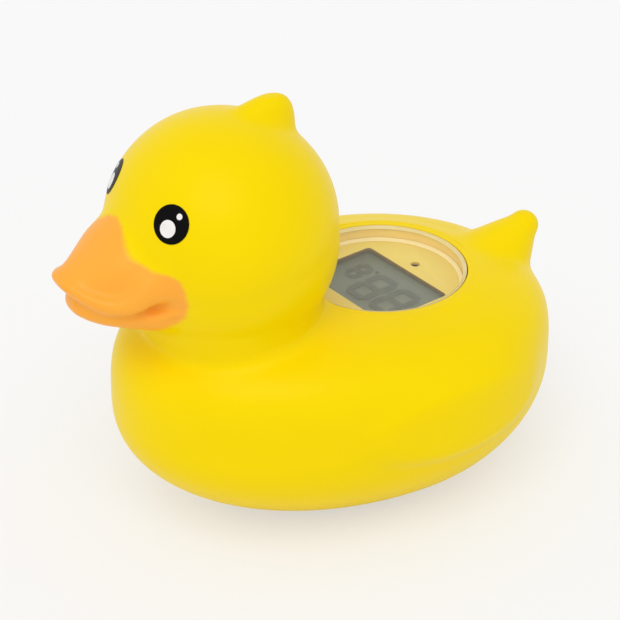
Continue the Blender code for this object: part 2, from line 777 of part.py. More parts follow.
circuit_board = prism("circuit_board", circle(0, display_y, cup_inner - touch_gap, tube_sides),
                      board_low, board_top, board_green)
head_low = board_top + touch_gap
for number, angle in enumerate(board_screw_angles, 1):
    spot = module_xy(board_screw_circle * cos(radians(angle)), board_screw_circle * sin(radians(angle)))
    bore = disc("board_bore_%d" % number, *spot, board_screw_radius + touch_gap, board_low - mm, board_top + mm, 12)
    cut(circuit_board, bore)
    pilot = disc("ledge_pilot_%d" % number, *spot, board_screw_radius + touch_gap,
                 head_low - board_screw_length - touch_gap, ledge_top + mm, 12)
    cut(display_housing, pilot)
    turned("board_screw_%d" % number, [
        (0, head_low + board_screw_head), (board_screw_head_radius * 0.7, head_low + board_screw_head),
        (board_screw_head_radius, head_low + board_screw_head * 0.55), (board_screw_head_radius, head_low),
        (board_screw_radius, head_low), (board_screw_radius, head_low - board_screw_length + 0.5 * mm),
        (0, head_low - board_screw_length)], spot, 12, steel)

led_foot = board_top + touch_gap
led_top = mask_low - touch_gap
led_profile = [(0, led_foot), (led_radius, led_foot), (led_radius, led_top - led_radius)]
for k in (1, 2, 3):
    led_profile.append((led_radius * cos(pi / 8 * k), led_top - led_radius + led_radius * sin(pi / 8 * k)))
led_profile.append((0, led_top))
warning_led = turned("warning_led", led_profile, led_spot, small_sides, led_red)

chip_top = board_low - touch_gap
chip_blob = turned("chip_blob", [
    (0, chip_top), (chip_radius, chip_top), (chip_radius * 0.86, chip_top - chip_height * 0.6),
    (chip_radius * 0.5, chip_top - chip_height * 0.92), (0, chip_top - chip_height)],
    module_xy(chip_x, chip_y), 24, epoxy_black)

crystal_rings = []
for share, size in ((-0.5, 0.7), (-0.44, 1.0), (0.44, 1.0), (0.5, 0.7)):
    x, y = module_xy(crystal_x, crystal_y + crystal_length * share)
    crystal_rings.append([Vector((x + crystal_radius * size * cos(2 * pi * k / 16), y,
                                  chip_top - crystal_radius + crystal_radius * size * sin(2 * pi * k / 16)))
                          for k in range(16)])
quartz_crystal = lofted("quartz_crystal", crystal_rings, steel)

# base plate with the battery tray
floor_low = 0.0
recess_top = door_below + door_thickness + 2 * touch_gap + door_seal_thickness
cell_spot = (0, display_y + cell_y)
tray_inner = cell_radius + touch_gap
link_low = door_below + door_thickness + touch_gap
cell_low = link_low + contact_thickness + touch_gap
cell_top = cell_low + cell_height
leaf_low = cell_top + touch_gap
leaf_top = leaf_low + contact_thickness
roof_low = leaf_top + touch_gap
roof_top = roof_low + tray_roof
base_plate = prism("base_plate", circle(0, display_y, base_radius, tube_sides), floor_low, base_top, yellow)
tray_form = prism("tray_form", stadium(*cell_spot, cell_half_spacing, tray_inner + tray_wall), base_top - mm, roof_top)
tray_void = prism("tray_void", stadium(*cell_spot, cell_half_spacing, tray_inner), -mm, roof_low)
door_recess = prism("door_recess", stadium(*cell_spot, cell_half_spacing, tray_inner + door_overlap + touch_gap),
                    -mm, recess_top)
ear_y = display_y + door_ear_y
ear_recess = disc("ear_recess", 0, ear_y, door_ear_radius + touch_gap, -mm, recess_top, 16)
join(base_plate, tray_form)
cut(base_plate, door_recess)
cut(base_plate, ear_recess)
cut(base_plate, tray_void)
screw_tip = door_below + door_screw_head + touch_gap + door_screw_length
door_pilot = disc("door_pilot", 0, ear_y, door_screw_radius + touch_gap, -mm, base_top + 2 * mm, 12)
cut(base_plate, door_pilot)

base_seal = turned("base_seal", [
    (stem_radius, seal_top), (stem_radius, seal_low), (stem_radius - base_seal_width, seal_low),
    (stem_radius - base_seal_width, seal_top)], axis, tube_sides, rubber_grey)

battery_door = prism("battery_door", stadium(*cell_spot, cell_half_spacing, tray_inner + door_overlap),
                     door_below, door_below + door_thickness, yellow)
ear_form = disc("ear_form", 0, ear_y, door_ear_radius, door_below, door_below + door_thickness, 16)
join(battery_door, ear_form)
head_seat = disc("head_seat", 0, ear_y, door_screw_head_radius + touch_gap, -mm,
                 door_below + door_screw_head + touch_gap, 14)
door_bore = disc("door_bore", 0, ear_y, door_screw_radius + touch_gap, -mm, door_below + 2 * door_thickness, 12)
cut(battery_door, head_seat)
cut(battery_door, door_bore)

seal_outer = stadium(*cell_spot, cell_half_spacing, tray_inner + 0.2 * mm + door_seal_width)
battery_door_seal = prism("battery_door_seal", seal_outer, link_low, link_low + door_seal_thickness, rubber_grey)
seal_void = prism("seal_void", stadium(*cell_spot, cell_half_spacing, tray_inner + 0.2 * mm), 0, 2 * link_low)
cut(battery_door_seal, seal_void)

battery_door_screw = turned("battery_door_screw", [
    (0, door_below + 0.05 * mm), (door_screw_head_radius, door_below + 0.05 * mm),
    (door_screw_head_radius, door_below + door_screw_head),
    (door_screw_radius, door_below + door_screw_head), (door_screw_radius, screw_tip - 0.5 * mm),
    (0, screw_tip)], (0, ear_y), 12, steel)
cross_size = door_screw_head_radius * 0.62
for name, half_x, half_y in (("cross_a", cross_size, 0.22 * mm), ("cross_b", 0.22 * mm, cross_size)):
    slot = prism(name, [(-half_x, ear_y - half_y), (half_x, ear_y - half_y),
                        (half_x, ear_y + half_y), (-half_x, ear_y + half_y)], -mm, door_below + 0.45 * mm)
    cut(battery_door_screw, slot)

# two button cells in series, with a link below and a leaf above each
battery_link = prism("battery_link", stadium(*cell_spot, cell_half_spacing, link_half_width),
                     link_low, link_low + contact_thickness, brass)
for side, sign in (("left", 1), ("right", -1)):
    spot = (sign * cell_half_spacing, display_y + cell_y)
    step = 0.9 * mm
    turned("button_cell_" + side, [
        (0, cell_low), (cell_radius, cell_low), (cell_radius, cell_top - 0.9 * mm),
        (cell_radius - step, cell_top - 0.5 * mm), (cell_radius - step, cell_top), (0, cell_top)],
        spot, 24, steel)
    leaf = prism("battery_leaf_" + side, round_box(*spot, contact_half_width, contact_half_width, 0.6 * mm, 2),
                 leaf_low, leaf_top, brass)
    tab_box = round_box(*spot, contact_tab_width / 2, contact_thickness / 2, 0.05 * mm, 1)
    tab = prism("leaf_tab_" + side, tab_box, leaf_low + 0.1 * mm, leaf_top + contact_tab_height)
    join(leaf, tab)
    tab_slot = prism("tab_slot_" + side, round_box(*spot, contact_tab_width / 2 + touch_gap,
                                                   contact_thickness / 2 + touch_gap, 0.1 * mm, 1),
                     roof_low - mm, roof_top + mm)
    cut(base_plate, tab_slot)

# temperature probe cap with its sensor bead, and two water contacts
probe_spot = (0, display_y + probe_y)
probe_low = 0.1 * mm
probe_top = probe_low + probe_height
probe_cap = turned("probe_cap", [
    (0, probe_low), (probe_radius + probe_flange, probe_low),
    (probe_radius + probe_flange, probe_low + probe_flange_thickness),
    (probe_radius, probe_low + probe_flange_thickness), (probe_radius, probe_top),
    (probe_radius - probe_wall, probe_top), (probe_radius - probe_wall, probe_low + probe_wall),
    (0, probe_low + probe_wall)], probe_spot, 18, steel)
flange_seat = disc("flange_seat", *probe_spot, probe_radius + probe_flange + touch_gap, -mm,
                   probe_low + probe_flange_thickness + touch_gap, 18)
probe_bore = disc("probe_bore", *probe_spot, probe_radius + touch_gap, -mm, base_top + mm, 18)
cut(base_plate, flange_seat)
cut(base_plate, probe_bore)
bead_low = probe_low + probe_wall + touch_gap
bead = []
for k in range(7):
    a = -pi / 2 + pi * k / 6
    bead.append((sensor_radius * cos(a) if 0 < k < 6 else 0, bead_low + sensor_radius * (1.1 + 1.1 * sin(a))))
temperature_sensor = turned("temperature_sensor", bead, probe_spot, 16, epoxy_black)
bead_top = bead_low + 2.2 * sensor_radius

for side, sign in (("left", 1), ("right", -1)):
    spot = (sign * stud_x, display_y + stud_y)
    turned("water_contact_" + side, [
        (0, probe_low), (stud_head_radius, probe_low), (stud_head_radius, probe_low + stud_head_thickness),
        (stud_radius, probe_low + stud_head_thickness), (stud_radius, probe_low + stud_length),
        (0, probe_low + stud_length)], spot, 14, steel)
    head_pit = disc("stud_pit_" + side, *spot, stud_head_radius + touch_gap, -mm,
                    probe_low + stud_head_thickness + touch_gap, 14)
    stud_bore = disc("stud_bore_" + side, *spot, stud_radius + touch_gap, -mm, base_top + mm, 14)
    cut(base_plate, head_pit)
    cut(base_plate, stud_bore)


# wires from the tray, probe and contacts up to the underside of the board
def wire(name, start, end, bow, mat, points=10):
    a = Vector(start)
    d = Vector(end)
    lift = Vector((0, 0, (d.z - a.z) * 0.4))
    b = a + lift + Vector((bow[0], bow[1], 0))
    c = d - lift + Vector((bow[0], bow[1], 0))
    curve = bpy.data.curves.new(name, "CURVE")
    curve.dimensions = "3D"
    curve.bevel_depth = wire_radius
    curve.bevel_resolution = 2
    curve.use_fill_caps = True
    spline = curve.splines.new("POLY")
    spline.points.add(points - 1)
    for k in range(points):
        t = k / (points - 1)
        p = a * (1 - t) ** 3 + b * 3 * t * (1 - t) ** 2 + c * 3 * t * t * (1 - t) + d * t ** 3
        spline.points[k].co = (*p, 1)
    obj = bpy.data.objects.new(name, curve)
    curve.materials.append(mat)
    bpy.context.scene.collection.objects.link(obj)
    return obj


pad_z = board_low - touch_gap
tab_top = leaf_top + contact_tab_height + touch_gap
stud_top = probe_low + stud_length + touch_gap
wire("battery_wire_red", (cell_half_spacing, cell_spot[1], tab_top), (*module_xy(supply_pad_x, supply_pad_y), pad_z),
     (wire_bow, wire_bow), wire_red)
wire("battery_wire_black", (-cell_half_spacing, cell_spot[1], tab_top), (*module_xy(-supply_pad_x, supply_pad_y), pad_z),
     (-wire_bow, wire_bow), wire_black)
wire("sensor_wire", (probe_spot[0], probe_spot[1], bead_top + touch_gap), (*module_xy(0, sensor_pad_y), pad_z),
     (0, -wire_bow / 2), wire_white)
wire("contact_wire_left", (stud_x, display_y + stud_y, stud_top), (*module_xy(contact_pad_x, contact_pad_y), pad_z),
     (0.75 * wire_bow, 0), wire_white)
wire("contact_wire_right", (-stud_x, display_y + stud_y, stud_top), (*module_xy(-contact_pad_x, contact_pad_y), pad_z),
     (-0.75 * wire_bow, 0), wire_white)

bpy.context.view_layer.update()
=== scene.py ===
import bpy
from math import sin, cos, pi, radians, sqrt
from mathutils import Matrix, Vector


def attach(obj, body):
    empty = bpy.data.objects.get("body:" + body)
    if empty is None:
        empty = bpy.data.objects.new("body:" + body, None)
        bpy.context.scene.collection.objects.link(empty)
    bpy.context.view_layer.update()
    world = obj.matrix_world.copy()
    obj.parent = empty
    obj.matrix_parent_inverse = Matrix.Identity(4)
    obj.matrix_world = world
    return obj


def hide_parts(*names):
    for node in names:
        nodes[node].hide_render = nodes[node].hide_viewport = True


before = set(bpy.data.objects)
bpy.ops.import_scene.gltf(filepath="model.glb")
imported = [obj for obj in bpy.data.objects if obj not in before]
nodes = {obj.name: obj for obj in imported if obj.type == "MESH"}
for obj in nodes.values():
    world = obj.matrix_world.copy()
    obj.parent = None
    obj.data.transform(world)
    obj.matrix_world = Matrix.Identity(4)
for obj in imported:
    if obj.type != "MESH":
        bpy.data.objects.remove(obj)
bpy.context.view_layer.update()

mm = 0.001


# small helpers used all through
def startFresh():
    if bpy.context.object and bpy.context.object.mode != "OBJECT":
        bpy.ops.object.mode_set(mode="OBJECT")
    bpy.ops.object.select_all(action="DESELECT")


def pick(*objs):
    startFresh()
    for obj in objs:
        obj.select_set(True)
    bpy.context.view_layer.objects.active = objs[0]


def named(name):
    obj = bpy.context.object
    obj.name = name
    obj.data.name = name
    return obj


def selectVerts(obj, test):
    # picks the vertices that lie where the test says, from edit mode
    bpy.ops.mesh.select_all(action="DESELECT")
    bpy.ops.object.mode_set(mode="OBJECT")
    for v in obj.data.vertices:
        v.select = bool(test(v.co))
    bpy.ops.object.mode_set(mode="EDIT")


def selectFaces(obj, test):
    bpy.ops.mesh.select_mode(type="FACE")
    bpy.ops.mesh.select_all(action="DESELECT")
    bpy.ops.object.mode_set(mode="OBJECT")
    for f in obj.data.polygons:
        f.select = bool(test(f))
    bpy.ops.object.mode_set(mode="EDIT")


def applyAll(obj):
    pick(obj)
    for mod in list(obj.modifiers):
        bpy.ops.object.modifier_apply(modifier=mod.name)


def applyPlace(obj):
    pick(obj)
    bpy.ops.object.transform_apply(location=True, rotation=True, scale=True)


def closeUp(obj, merge=0.00001):
    # doubles merged first, then every face turned outwards
    pick(obj)
    bpy.ops.object.mode_set(mode="EDIT")
    bpy.ops.mesh.select_all(action="SELECT")
    bpy.ops.mesh.remove_doubles(threshold=merge)
    bpy.ops.mesh.normals_make_consistent(inside=False)
    bpy.ops.object.mode_set(mode="OBJECT")


def carve(obj, tool, how="DIFFERENCE", keep=False):
    mod = obj.modifiers.new(how.title(), "BOOLEAN")
    mod.operation = how
    mod.solver = "EXACT"
    mod.object = tool
    pick(obj)
    bpy.ops.object.modifier_apply(modifier=mod.name)
    if not keep:
        bpy.data.objects.remove(tool)


def copyOf(obj, name):
    pick(obj)
    bpy.ops.object.duplicate()
    return named(name)


def paint(obj, name, weightOf):
    # a vertex group weighted by place, as with the weight brush
    group = obj.vertex_groups.new(name=name)
    steps = {}
    for v in obj.data.vertices:
        w = weightOf(v.co)
        if w > 0.01:
            steps.setdefault(round(min(w, 1.0) * 50) / 50, []).append(v.index)
    for w, members in steps.items():
        if w > 0:
            group.add(members, w, "REPLACE")
    return group.name


def relax(obj, turns, factor=0.5, group=""):
    mod = obj.modifiers.new("Relax", "SMOOTH")
    mod.factor = factor
    mod.iterations = turns
    mod.vertex_group = group
    pick(obj)
    bpy.ops.object.modifier_apply(modifier=mod.name)


def soft(t):
    t = max(0.0, min(1.0, t))
    return t * t * (3 - 2 * t)


def stack(name, sections, sides, facing="Z", corner=None):
    # a round blank pulled up section by section: each is (centre, half size across, half size along)
    turn = {"Z": (0, 0, 0), "Y": (pi / 2, 0, 0)}[facing]
    first = sections[0]
    startFresh()
    if corner is None:
        bpy.ops.mesh.primitive_circle_add(vertices=sides, radius=1, fill_type="NGON", location=first[0], rotation=turn)
    else:
        bpy.ops.mesh.primitive_plane_add(size=2, location=first[0], rotation=turn)
    obj = named(name)
    bpy.ops.object.transform_apply(location=True, rotation=True, scale=True)
    bpy.ops.object.mode_set(mode="EDIT")
    if corner is not None:
        # a rounded square in place of the circle
        bpy.ops.mesh.select_all(action="SELECT")
        bpy.ops.mesh.bevel(offset=corner, segments=sides // 4, affect="VERTICES")
    bpy.ops.mesh.select_mode(type="FACE")
    bpy.ops.mesh.select_all(action="SELECT")

    def resize(wide, deep, about):
        size = (wide, deep, 1) if facing == "Z" else (wide, 1, deep)
        bpy.ops.transform.resize(value=size, center_override=about)

    resize(first[1], first[2], first[0])
    for old, new in zip(sections, sections[1:]):
        step = Vector(new[0]) - Vector(old[0])
        bpy.ops.mesh.extrude_region_move(TRANSFORM_OT_translate={"value": step})
        resize(new[1] / old[1], new[2] / old[2], new[0])
    bpy.ops.mesh.select_all(action="SELECT")
    bpy.ops.mesh.normals_make_consistent(inside=False)
    bpy.ops.object.mode_set(mode="OBJECT")
    return obj


def drum(name, x, y, radius, low, high, sides=96):
    # a plain round cutter
    return stack(name, [((x, y, low), radius, radius), ((x, y, high), radius, radius)], sides)


def setParent(obj, slot, *replaced):
    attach(obj, "root")
    if replaced:
        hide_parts(*replaced)


# camera, lamps, world and floor
view = {
    "azimuth": radians(60.0),
    "elevation": radians(31.2),
    "distance": 484.6 * mm,
    "lookAt": (0, 0, 42.5 * mm),
    "lens": 127.74,
}
light = {
    # each softbox: strength, apparent size, direction it stands in
    "keyBox": (0.95, radians(42), (0.446, -0.348, 0.82)),
    "sideBox": (0.08, radians(30), (-0.50, -0.62, 0.60)),
    "skyLevel": 0.735,
    "white": 0.947,
    "floorShade": 0.45,
    "floorGlow": 0.962,
}

look = Vector(view["lookAt"])
away = Vector((sin(view["azimuth"]) * cos(view["elevation"]),
               -cos(view["azimuth"]) * cos(view["elevation"]), sin(view["elevation"])))
cameraData = bpy.data.cameras.new("photoCamera")
cameraData.lens = view["lens"]
cameraData.sensor_width = 36
cameraData.clip_start = 0.01
camera = bpy.data.objects.new("photoCamera", cameraData)
bpy.context.scene.collection.objects.link(camera)
camera.location = look + away * view["distance"]
camera.rotation_euler = (-away).to_track_quat("-Z", "Y").to_euler()
bpy.context.scene.camera = camera
bpy.context.scene.view_settings.view_transform = "Standard"

for name in ("keyBox", "sideBox"):
    power, size, source = light[name]
    boxData = bpy.data.lights.new(name, "SUN")
    boxData.energy = power
    boxData.angle = size
    box = bpy.data.objects.new(name, boxData)
    bpy.context.scene.collection.objects.link(box)
    box.rotation_euler = Vector(source).to_track_quat("Z", "Y").to_euler()

# camera, glossy and transmission rays see the white background, all others the dimmer sky
world = bpy.data.worlds.new("studio")
bpy.context.scene.world = world
world.use_nodes = True
wt = world.node_tree
sky = wt.nodes["Background"]
seen = wt.nodes.new("ShaderNodeBackground")
path = wt.nodes.new("ShaderNodeLightPath")
either = wt.nodes.new("ShaderNodeMath")
either.operation = "MAXIMUM"
orGlass = wt.nodes.new("ShaderNodeMath")
orGlass.operation = "MAXIMUM"
blend = wt.nodes.new("ShaderNodeMixShader")
sky.inputs["Color"].default_value = (1, 1, 1, 1)
sky.inputs["Strength"].default_value = light["skyLevel"]
seen.inputs["Color"].default_value = (light["white"],) * 3 + (1,)
wt.links.new(path.outputs["Is Camera Ray"], either.inputs[0])
wt.links.new(path.outputs["Is Glossy Ray"], either.inputs[1])
wt.links.new(either.outputs[0], orGlass.inputs[0])
wt.links.new(path.outputs["Is Transmission Ray"], orGlass.inputs[1])
wt.links.new(orGlass.outputs[0], blend.inputs["Fac"])
wt.links.new(sky.outputs[0], blend.inputs[1])
wt.links.new(seen.outputs[0], blend.inputs[2])
wt.links.new(blend.outputs[0], wt.nodes["World Output"].inputs["Surface"])

startFresh()
bpy.ops.mesh.primitive_plane_add(size=6, location=(0, 0, -0.02 * mm))
floor = named("studioFloor")
bpy.ops.object.mode_set(mode="EDIT")
bpy.ops.mesh.subdivide(number_cuts=2)
bpy.ops.object.mode_set(mode="OBJECT")
applyPlace(floor)
print("stage set")


# effects shared by the materials, as node groups
def newGroup(name, ins, outs):
    group = bpy.data.node_groups.new(name, "ShaderNodeTree")
    for label, kind, value in ins:
        socket = group.interface.new_socket(label, in_out="INPUT", socket_type=kind)
        socket.default_value = value
    for label, kind in outs:
        group.interface.new_socket(label, in_out="OUTPUT", socket_type=kind)
    start = group.nodes.new("NodeGroupInput")
    end = group.nodes.new("NodeGroupOutput")
    return group, start, end


def addNode(tree, kind, **values):
    node = tree.nodes.new(kind)
    for key, value in values.items():
        if hasattr(node, key):
            setattr(node, key, value)
        else:
            node.inputs[key].default_value = value
    return node


def buildTintDrift():
    # slow patches of slightly lighter and darker colour
    group, start, end = newGroup("tintDrift", [
        ("Color", "NodeSocketColor", (0.8, 0.8, 0.8, 1)), ("Patch Scale", "NodeSocketFloat", 60.0),
        ("Amount", "NodeSocketFloat", 0.04)], [("Color", "NodeSocketColor")])
    place = addNode(group, "ShaderNodeTexCoord")
    noise = addNode(group, "ShaderNodeTexNoise", Detail=3.0, Roughness=0.5)
    span = addNode(group, "ShaderNodeMapRange")
    span.inputs["From Min"].default_value = 0.3
    span.inputs["From Max"].default_value = 0.7
    low = addNode(group, "ShaderNodeMath", operation="SUBTRACT")
    low.inputs[0].default_value = 1.0
    high = addNode(group, "ShaderNodeMath", operation="ADD")
    high.inputs[0].default_value = 1.0
    tone = addNode(group, "ShaderNodeHueSaturation")
    links = group.links
    links.new(place.outputs["Object"], noise.inputs["Vector"])
    links.new(start.outputs["Patch Scale"], noise.inputs["Scale"])
    links.new(noise.outputs["Fac"], span.inputs["Value"])
    links.new(start.outputs["Amount"], low.inputs[1])
    links.new(start.outputs["Amount"], high.inputs[1])
    links.new(low.outputs[0], span.inputs["To Min"])
    links.new(high.outputs[0], span.inputs["To Max"])
    links.new(span.outputs["Result"], tone.inputs["Value"])
    links.new(start.outputs["Color"], tone.inputs["Color"])
    links.new(tone.outputs["Color"], end.inputs["Color"])
    return group


def buildMouldGrain():
    # fine skin of moulded plastic: a height for Bump and a roughness that varies a little
    group, start, end = newGroup("mouldGrain", [
        ("Grain Scale", "NodeSocketFloat", 2500.0), ("Roughness", "NodeSocketFloat", 0.5),
        ("Spread", "NodeSocketFloat", 0.05)], [("Height", "NodeSocketFloat"), ("Roughness", "NodeSocketFloat")])
    place = addNode(group, "ShaderNodeTexCoord")
    fine = addNode(group, "ShaderNodeTexNoise", Detail=2.0, Roughness=0.6)
    broad = addNode(group, "ShaderNodeTexNoise", Detail=2.0, Roughness=0.5)
    broad.inputs["Scale"].default_value = 90.0
    shift = addNode(group, "ShaderNodeMath", operation="SUBTRACT")
    shift.inputs[1].default_value = 0.5
    scaled = addNode(group, "ShaderNodeMath", operation="MULTIPLY")
    total = addNode(group, "ShaderNodeMath", operation="ADD")
    links = group.links
    links.new(place.outputs["Object"], fine.inputs["Vector"])
    links.new(place.outputs["Object"], broad.inputs["Vector"])
    links.new(start.outputs["Grain Scale"], fine.inputs["Scale"])
    links.new(broad.outputs["Fac"], shift.inputs[0])
    links.new(shift.outputs[0], scaled.inputs[0])
    links.new(start.outputs["Spread"], scaled.inputs[1])
    links.new(scaled.outputs[0], total.inputs[0])
    links.new(start.outputs["Roughness"], total.inputs[1])
    links.new(fine.outputs["Fac"], end.inputs["Height"])
    links.new(total.outputs[0], end.inputs["Roughness"])
    return group


def buildSprayEdge():
    # soft overspray across the painted border, read from the piece's own spray attribute
    group, start, end = newGroup("sprayEdge", [
        ("Under", "NodeSocketColor", (0.9, 0.6, 0.0, 1)), ("Paint", "NodeSocketColor", (0.9, 0.4, 0.05, 1)),
        ("Blur", "NodeSocketFloat", 0.12)], [("Color", "NodeSocketColor"), ("Mask", "NodeSocketFloat")])
    spray = addNode(group, "ShaderNodeAttribute")
    spray.attribute_name = "spray"
    place = addNode(group, "ShaderNodeTexCoord")
    speckle = addNode(group, "ShaderNodeTexNoise", Detail=3.0, Roughness=0.6)
    speckle.inputs["Scale"].default_value = 1200.0
    centred = addNode(group, "ShaderNodeMath", operation="SUBTRACT")
    centred.inputs[1].default_value = 0.5
    little = addNode(group, "ShaderNodeMath", operation="MULTIPLY")
    little.inputs[1].default_value = 0.12
    summed = addNode(group, "ShaderNodeMath", operation="ADD")
    below = addNode(group, "ShaderNodeMath", operation="SUBTRACT")
    below.inputs[0].default_value = 0.5
    above = addNode(group, "ShaderNodeMath", operation="ADD")
    above.inputs[0].default_value = 0.5
    edge = addNode(group, "ShaderNodeMapRange", interpolation_type="SMOOTHSTEP")
    mix = addNode(group, "ShaderNodeMix", data_type="RGBA")
    links = group.links
    links.new(place.outputs["Object"], speckle.inputs["Vector"])
    links.new(speckle.outputs["Fac"], centred.inputs[0])
    links.new(centred.outputs[0], little.inputs[0])
    links.new(spray.outputs["Fac"], summed.inputs[0])
    links.new(little.outputs[0], summed.inputs[1])
    links.new(start.outputs["Blur"], below.inputs[1])
    links.new(start.outputs["Blur"], above.inputs[1])
    links.new(summed.outputs[0], edge.inputs["Value"])
    links.new(below.outputs[0], edge.inputs["From Min"])
    links.new(above.outputs[0], edge.inputs["From Max"])
    links.new(edge.outputs["Result"], mix.inputs["Factor"])
    links.new(start.outputs["Under"], mix.inputs["A"])
    links.new(start.outputs["Paint"], mix.inputs["B"])
    links.new(mix.outputs["Result"], end.inputs["Color"])
    links.new(edge.outputs["Result"], end.inputs["Mask"])
    return group


tintDrift = buildTintDrift()
mouldGrain = buildMouldGrain()
sprayEdge = buildSprayEdge()


def useGroup(tree, group, **values):
    node = tree.nodes.new("ShaderNodeGroup")
    node.node_tree = group
    for key, value in values.items():
        node.inputs[key].default_value = value
    return node


def plasticFinish(name, color, roughness=0.45, spread=0.06, grain=2500.0, bump=0.02, drift=0.03, patch=60.0,
                  metallic=0.0, specular=0.5, alpha=1.0, ior=1.5):
    # one finish for a moulded, stamped or drawn part; the sockets carry the constants
    mat = bpy.data.materials.new(name)
    mat.use_nodes = True
    tree = mat.node_tree
    shader = tree.nodes["Principled BSDF"]
    tone = useGroup(tree, tintDrift, Color=(*color, 1), Amount=drift)
    tone.inputs["Patch Scale"].default_value = patch
    skin = useGroup(tree, mouldGrain, Roughness=roughness, Spread=spread)
    skin.inputs["Grain Scale"].default_value = grain
    lift = addNode(tree, "ShaderNodeBump")
    lift.inputs["Strength"].default_value = bump
    lift.inputs["Distance"].default_value = 0.0002
    tree.links.new(tone.outputs["Color"], shader.inputs["Base Color"])
    tree.links.new(skin.outputs["Roughness"], shader.inputs["Roughness"])
    tree.links.new(skin.outputs["Height"], lift.inputs["Height"])
    tree.links.new(lift.outputs["Normal"], shader.inputs["Normal"])
    shader.inputs["Metallic"].default_value = metallic
    shader.inputs["Specular IOR Level"].default_value = specular
    shader.inputs["Alpha"].default_value = alpha
    shader.inputs["IOR"].default_value = ior
    return mat


def dress(obj, mat):
    obj.data.materials.clear()
    obj.data.materials.append(mat)


floorMat = bpy.data.materials.new("studioFloor")
floorMat.use_nodes = True
floorShader = floorMat.node_tree.nodes["Principled BSDF"]
floorShader.inputs["Base Color"].default_value = (0.93, 0.93, 0.935, 1)
floorShader.inputs["Roughness"].default_value = 0.9
floorShader.inputs["Specular IOR Level"].default_value = 0.0
# the camera sees the paper half washed out, as in the photo, and the object is lit by the plain floor
ft = floorMat.node_tree
floorSeen = ft.nodes.new("ShaderNodeLightPath")
floorPart = ft.nodes.new("ShaderNodeMath")
floorPart.operation = "MULTIPLY"
floorPart.inputs[1].default_value = 1 - light["floorShade"]
floorGlow = ft.nodes.new("ShaderNodeEmission")
floorGlow.inputs["Color"].default_value = (light["floorGlow"],) * 3 + (1,)
floorGlow.inputs["Strength"].default_value = 1.0
floorMix = ft.nodes.new("ShaderNodeMixShader")
ft.links.new(floorSeen.outputs["Is Camera Ray"], floorPart.inputs[0])
ft.links.new(floorPart.outputs[0], floorMix.inputs["Fac"])
ft.links.new(floorShader.outputs[0], floorMix.inputs[1])
ft.links.new(floorGlow.outputs[0], floorMix.inputs[2])
ft.links.new(floorMix.outputs[0], ft.nodes["Material Output"].inputs["Surface"])
dress(floor, floorMat)


# the duck's soft skin, from blanks that are fused
body = {
    "width": 77.2 * mm, "front": 58.7 * mm, "rear": 44.9 * mm, "midY": 12.4 * mm,
    "waist": 27.5 * mm, "top": 48.5 * mm, "bottom": -1.5 * mm,
    "frontLift": 2.4 * mm, "frontSpan": 62 * mm,
    "shoulder": 3.8, "belly": 2.08, "wall": 2.2 * mm,
    "closed": 0.97, "liftFrom": 10 * mm, "liftPower": 1.5,
}
head = {
    "radius": 24.5 * mm, "y": -21.5 * mm, "z": 70.7 * mm, "spread": 1.012, "squash": 0.994,
    "lowShift": (0.7 * mm, -4.2 * mm),
    "neckY": -20.4 * mm, "neckWide": 20.2 * mm, "neckDeep": 18.6 * mm, "neckZ": 46.0 * mm,
    "joinShare": 0.28, "neckSteps": 8, "cheek": 0.2 * mm,
}
headMiddle = Vector((0, head["y"], head["z"]))
crest = {
    "top": 97.3 * mm, "depth": 13.3 * mm, "y": -8.8 * mm, "front": 15.6 * mm, "rear": 5.0 * mm, "half": 5.5 * mm,
    # how full each side stays towards the top
    "frontCurve": 2.2, "rearCurve": 5.3, "sideCurve": 2.6,
    "levels": (0.0, 0.15, 0.3, 0.45, 0.58, 0.7, 0.8, 0.88, 0.94, 0.98),
}
tail = {
    "root": (0, 43.0 * mm, 36.0 * mm), "tip": (0, 56.6 * mm, 48.3 * mm), "rootRadius": 13.9 * mm,
    "tipRadius": 3.6 * mm, "taper": 1.02, "steps": 8, "capSteps": 4, "capShare": 4.6,
}
wing = {
    "midY": 17.0 * mm, "midZ": 31.5 * mm, "half": 28.0 * mm, "high": 11.5 * mm, "rise": 1.3 * mm,
    "edge": 0.34, "upperEdge": 0.3, "round": 2.3, "inner": 12 * mm,
}
display = {
    "y": 18.2 * mm, "turn": radians(8), "rim": 48.2 * mm, "opening": 19.4 * mm, "ring": 1.5 * mm,
    "drumPast": 1.6 * mm, "collar": 1.9 * mm, "smoothAngle": radians(35),
}
skin = {
    "voxel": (0.61 * mm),
    "tunedAt": 0.56 * mm,   # voxel size that the smoothing turns are given for
    "turns": {"all": 6, "mouth": 10, "billTop": 30, "rim": 60, "crease": 170, "crestFoot": 50, "tailFoot": 60,
              "billFoot": 45, "last": 3},
    "baseHole": 17.6 * mm, "smoothAngle": radians(40),
}


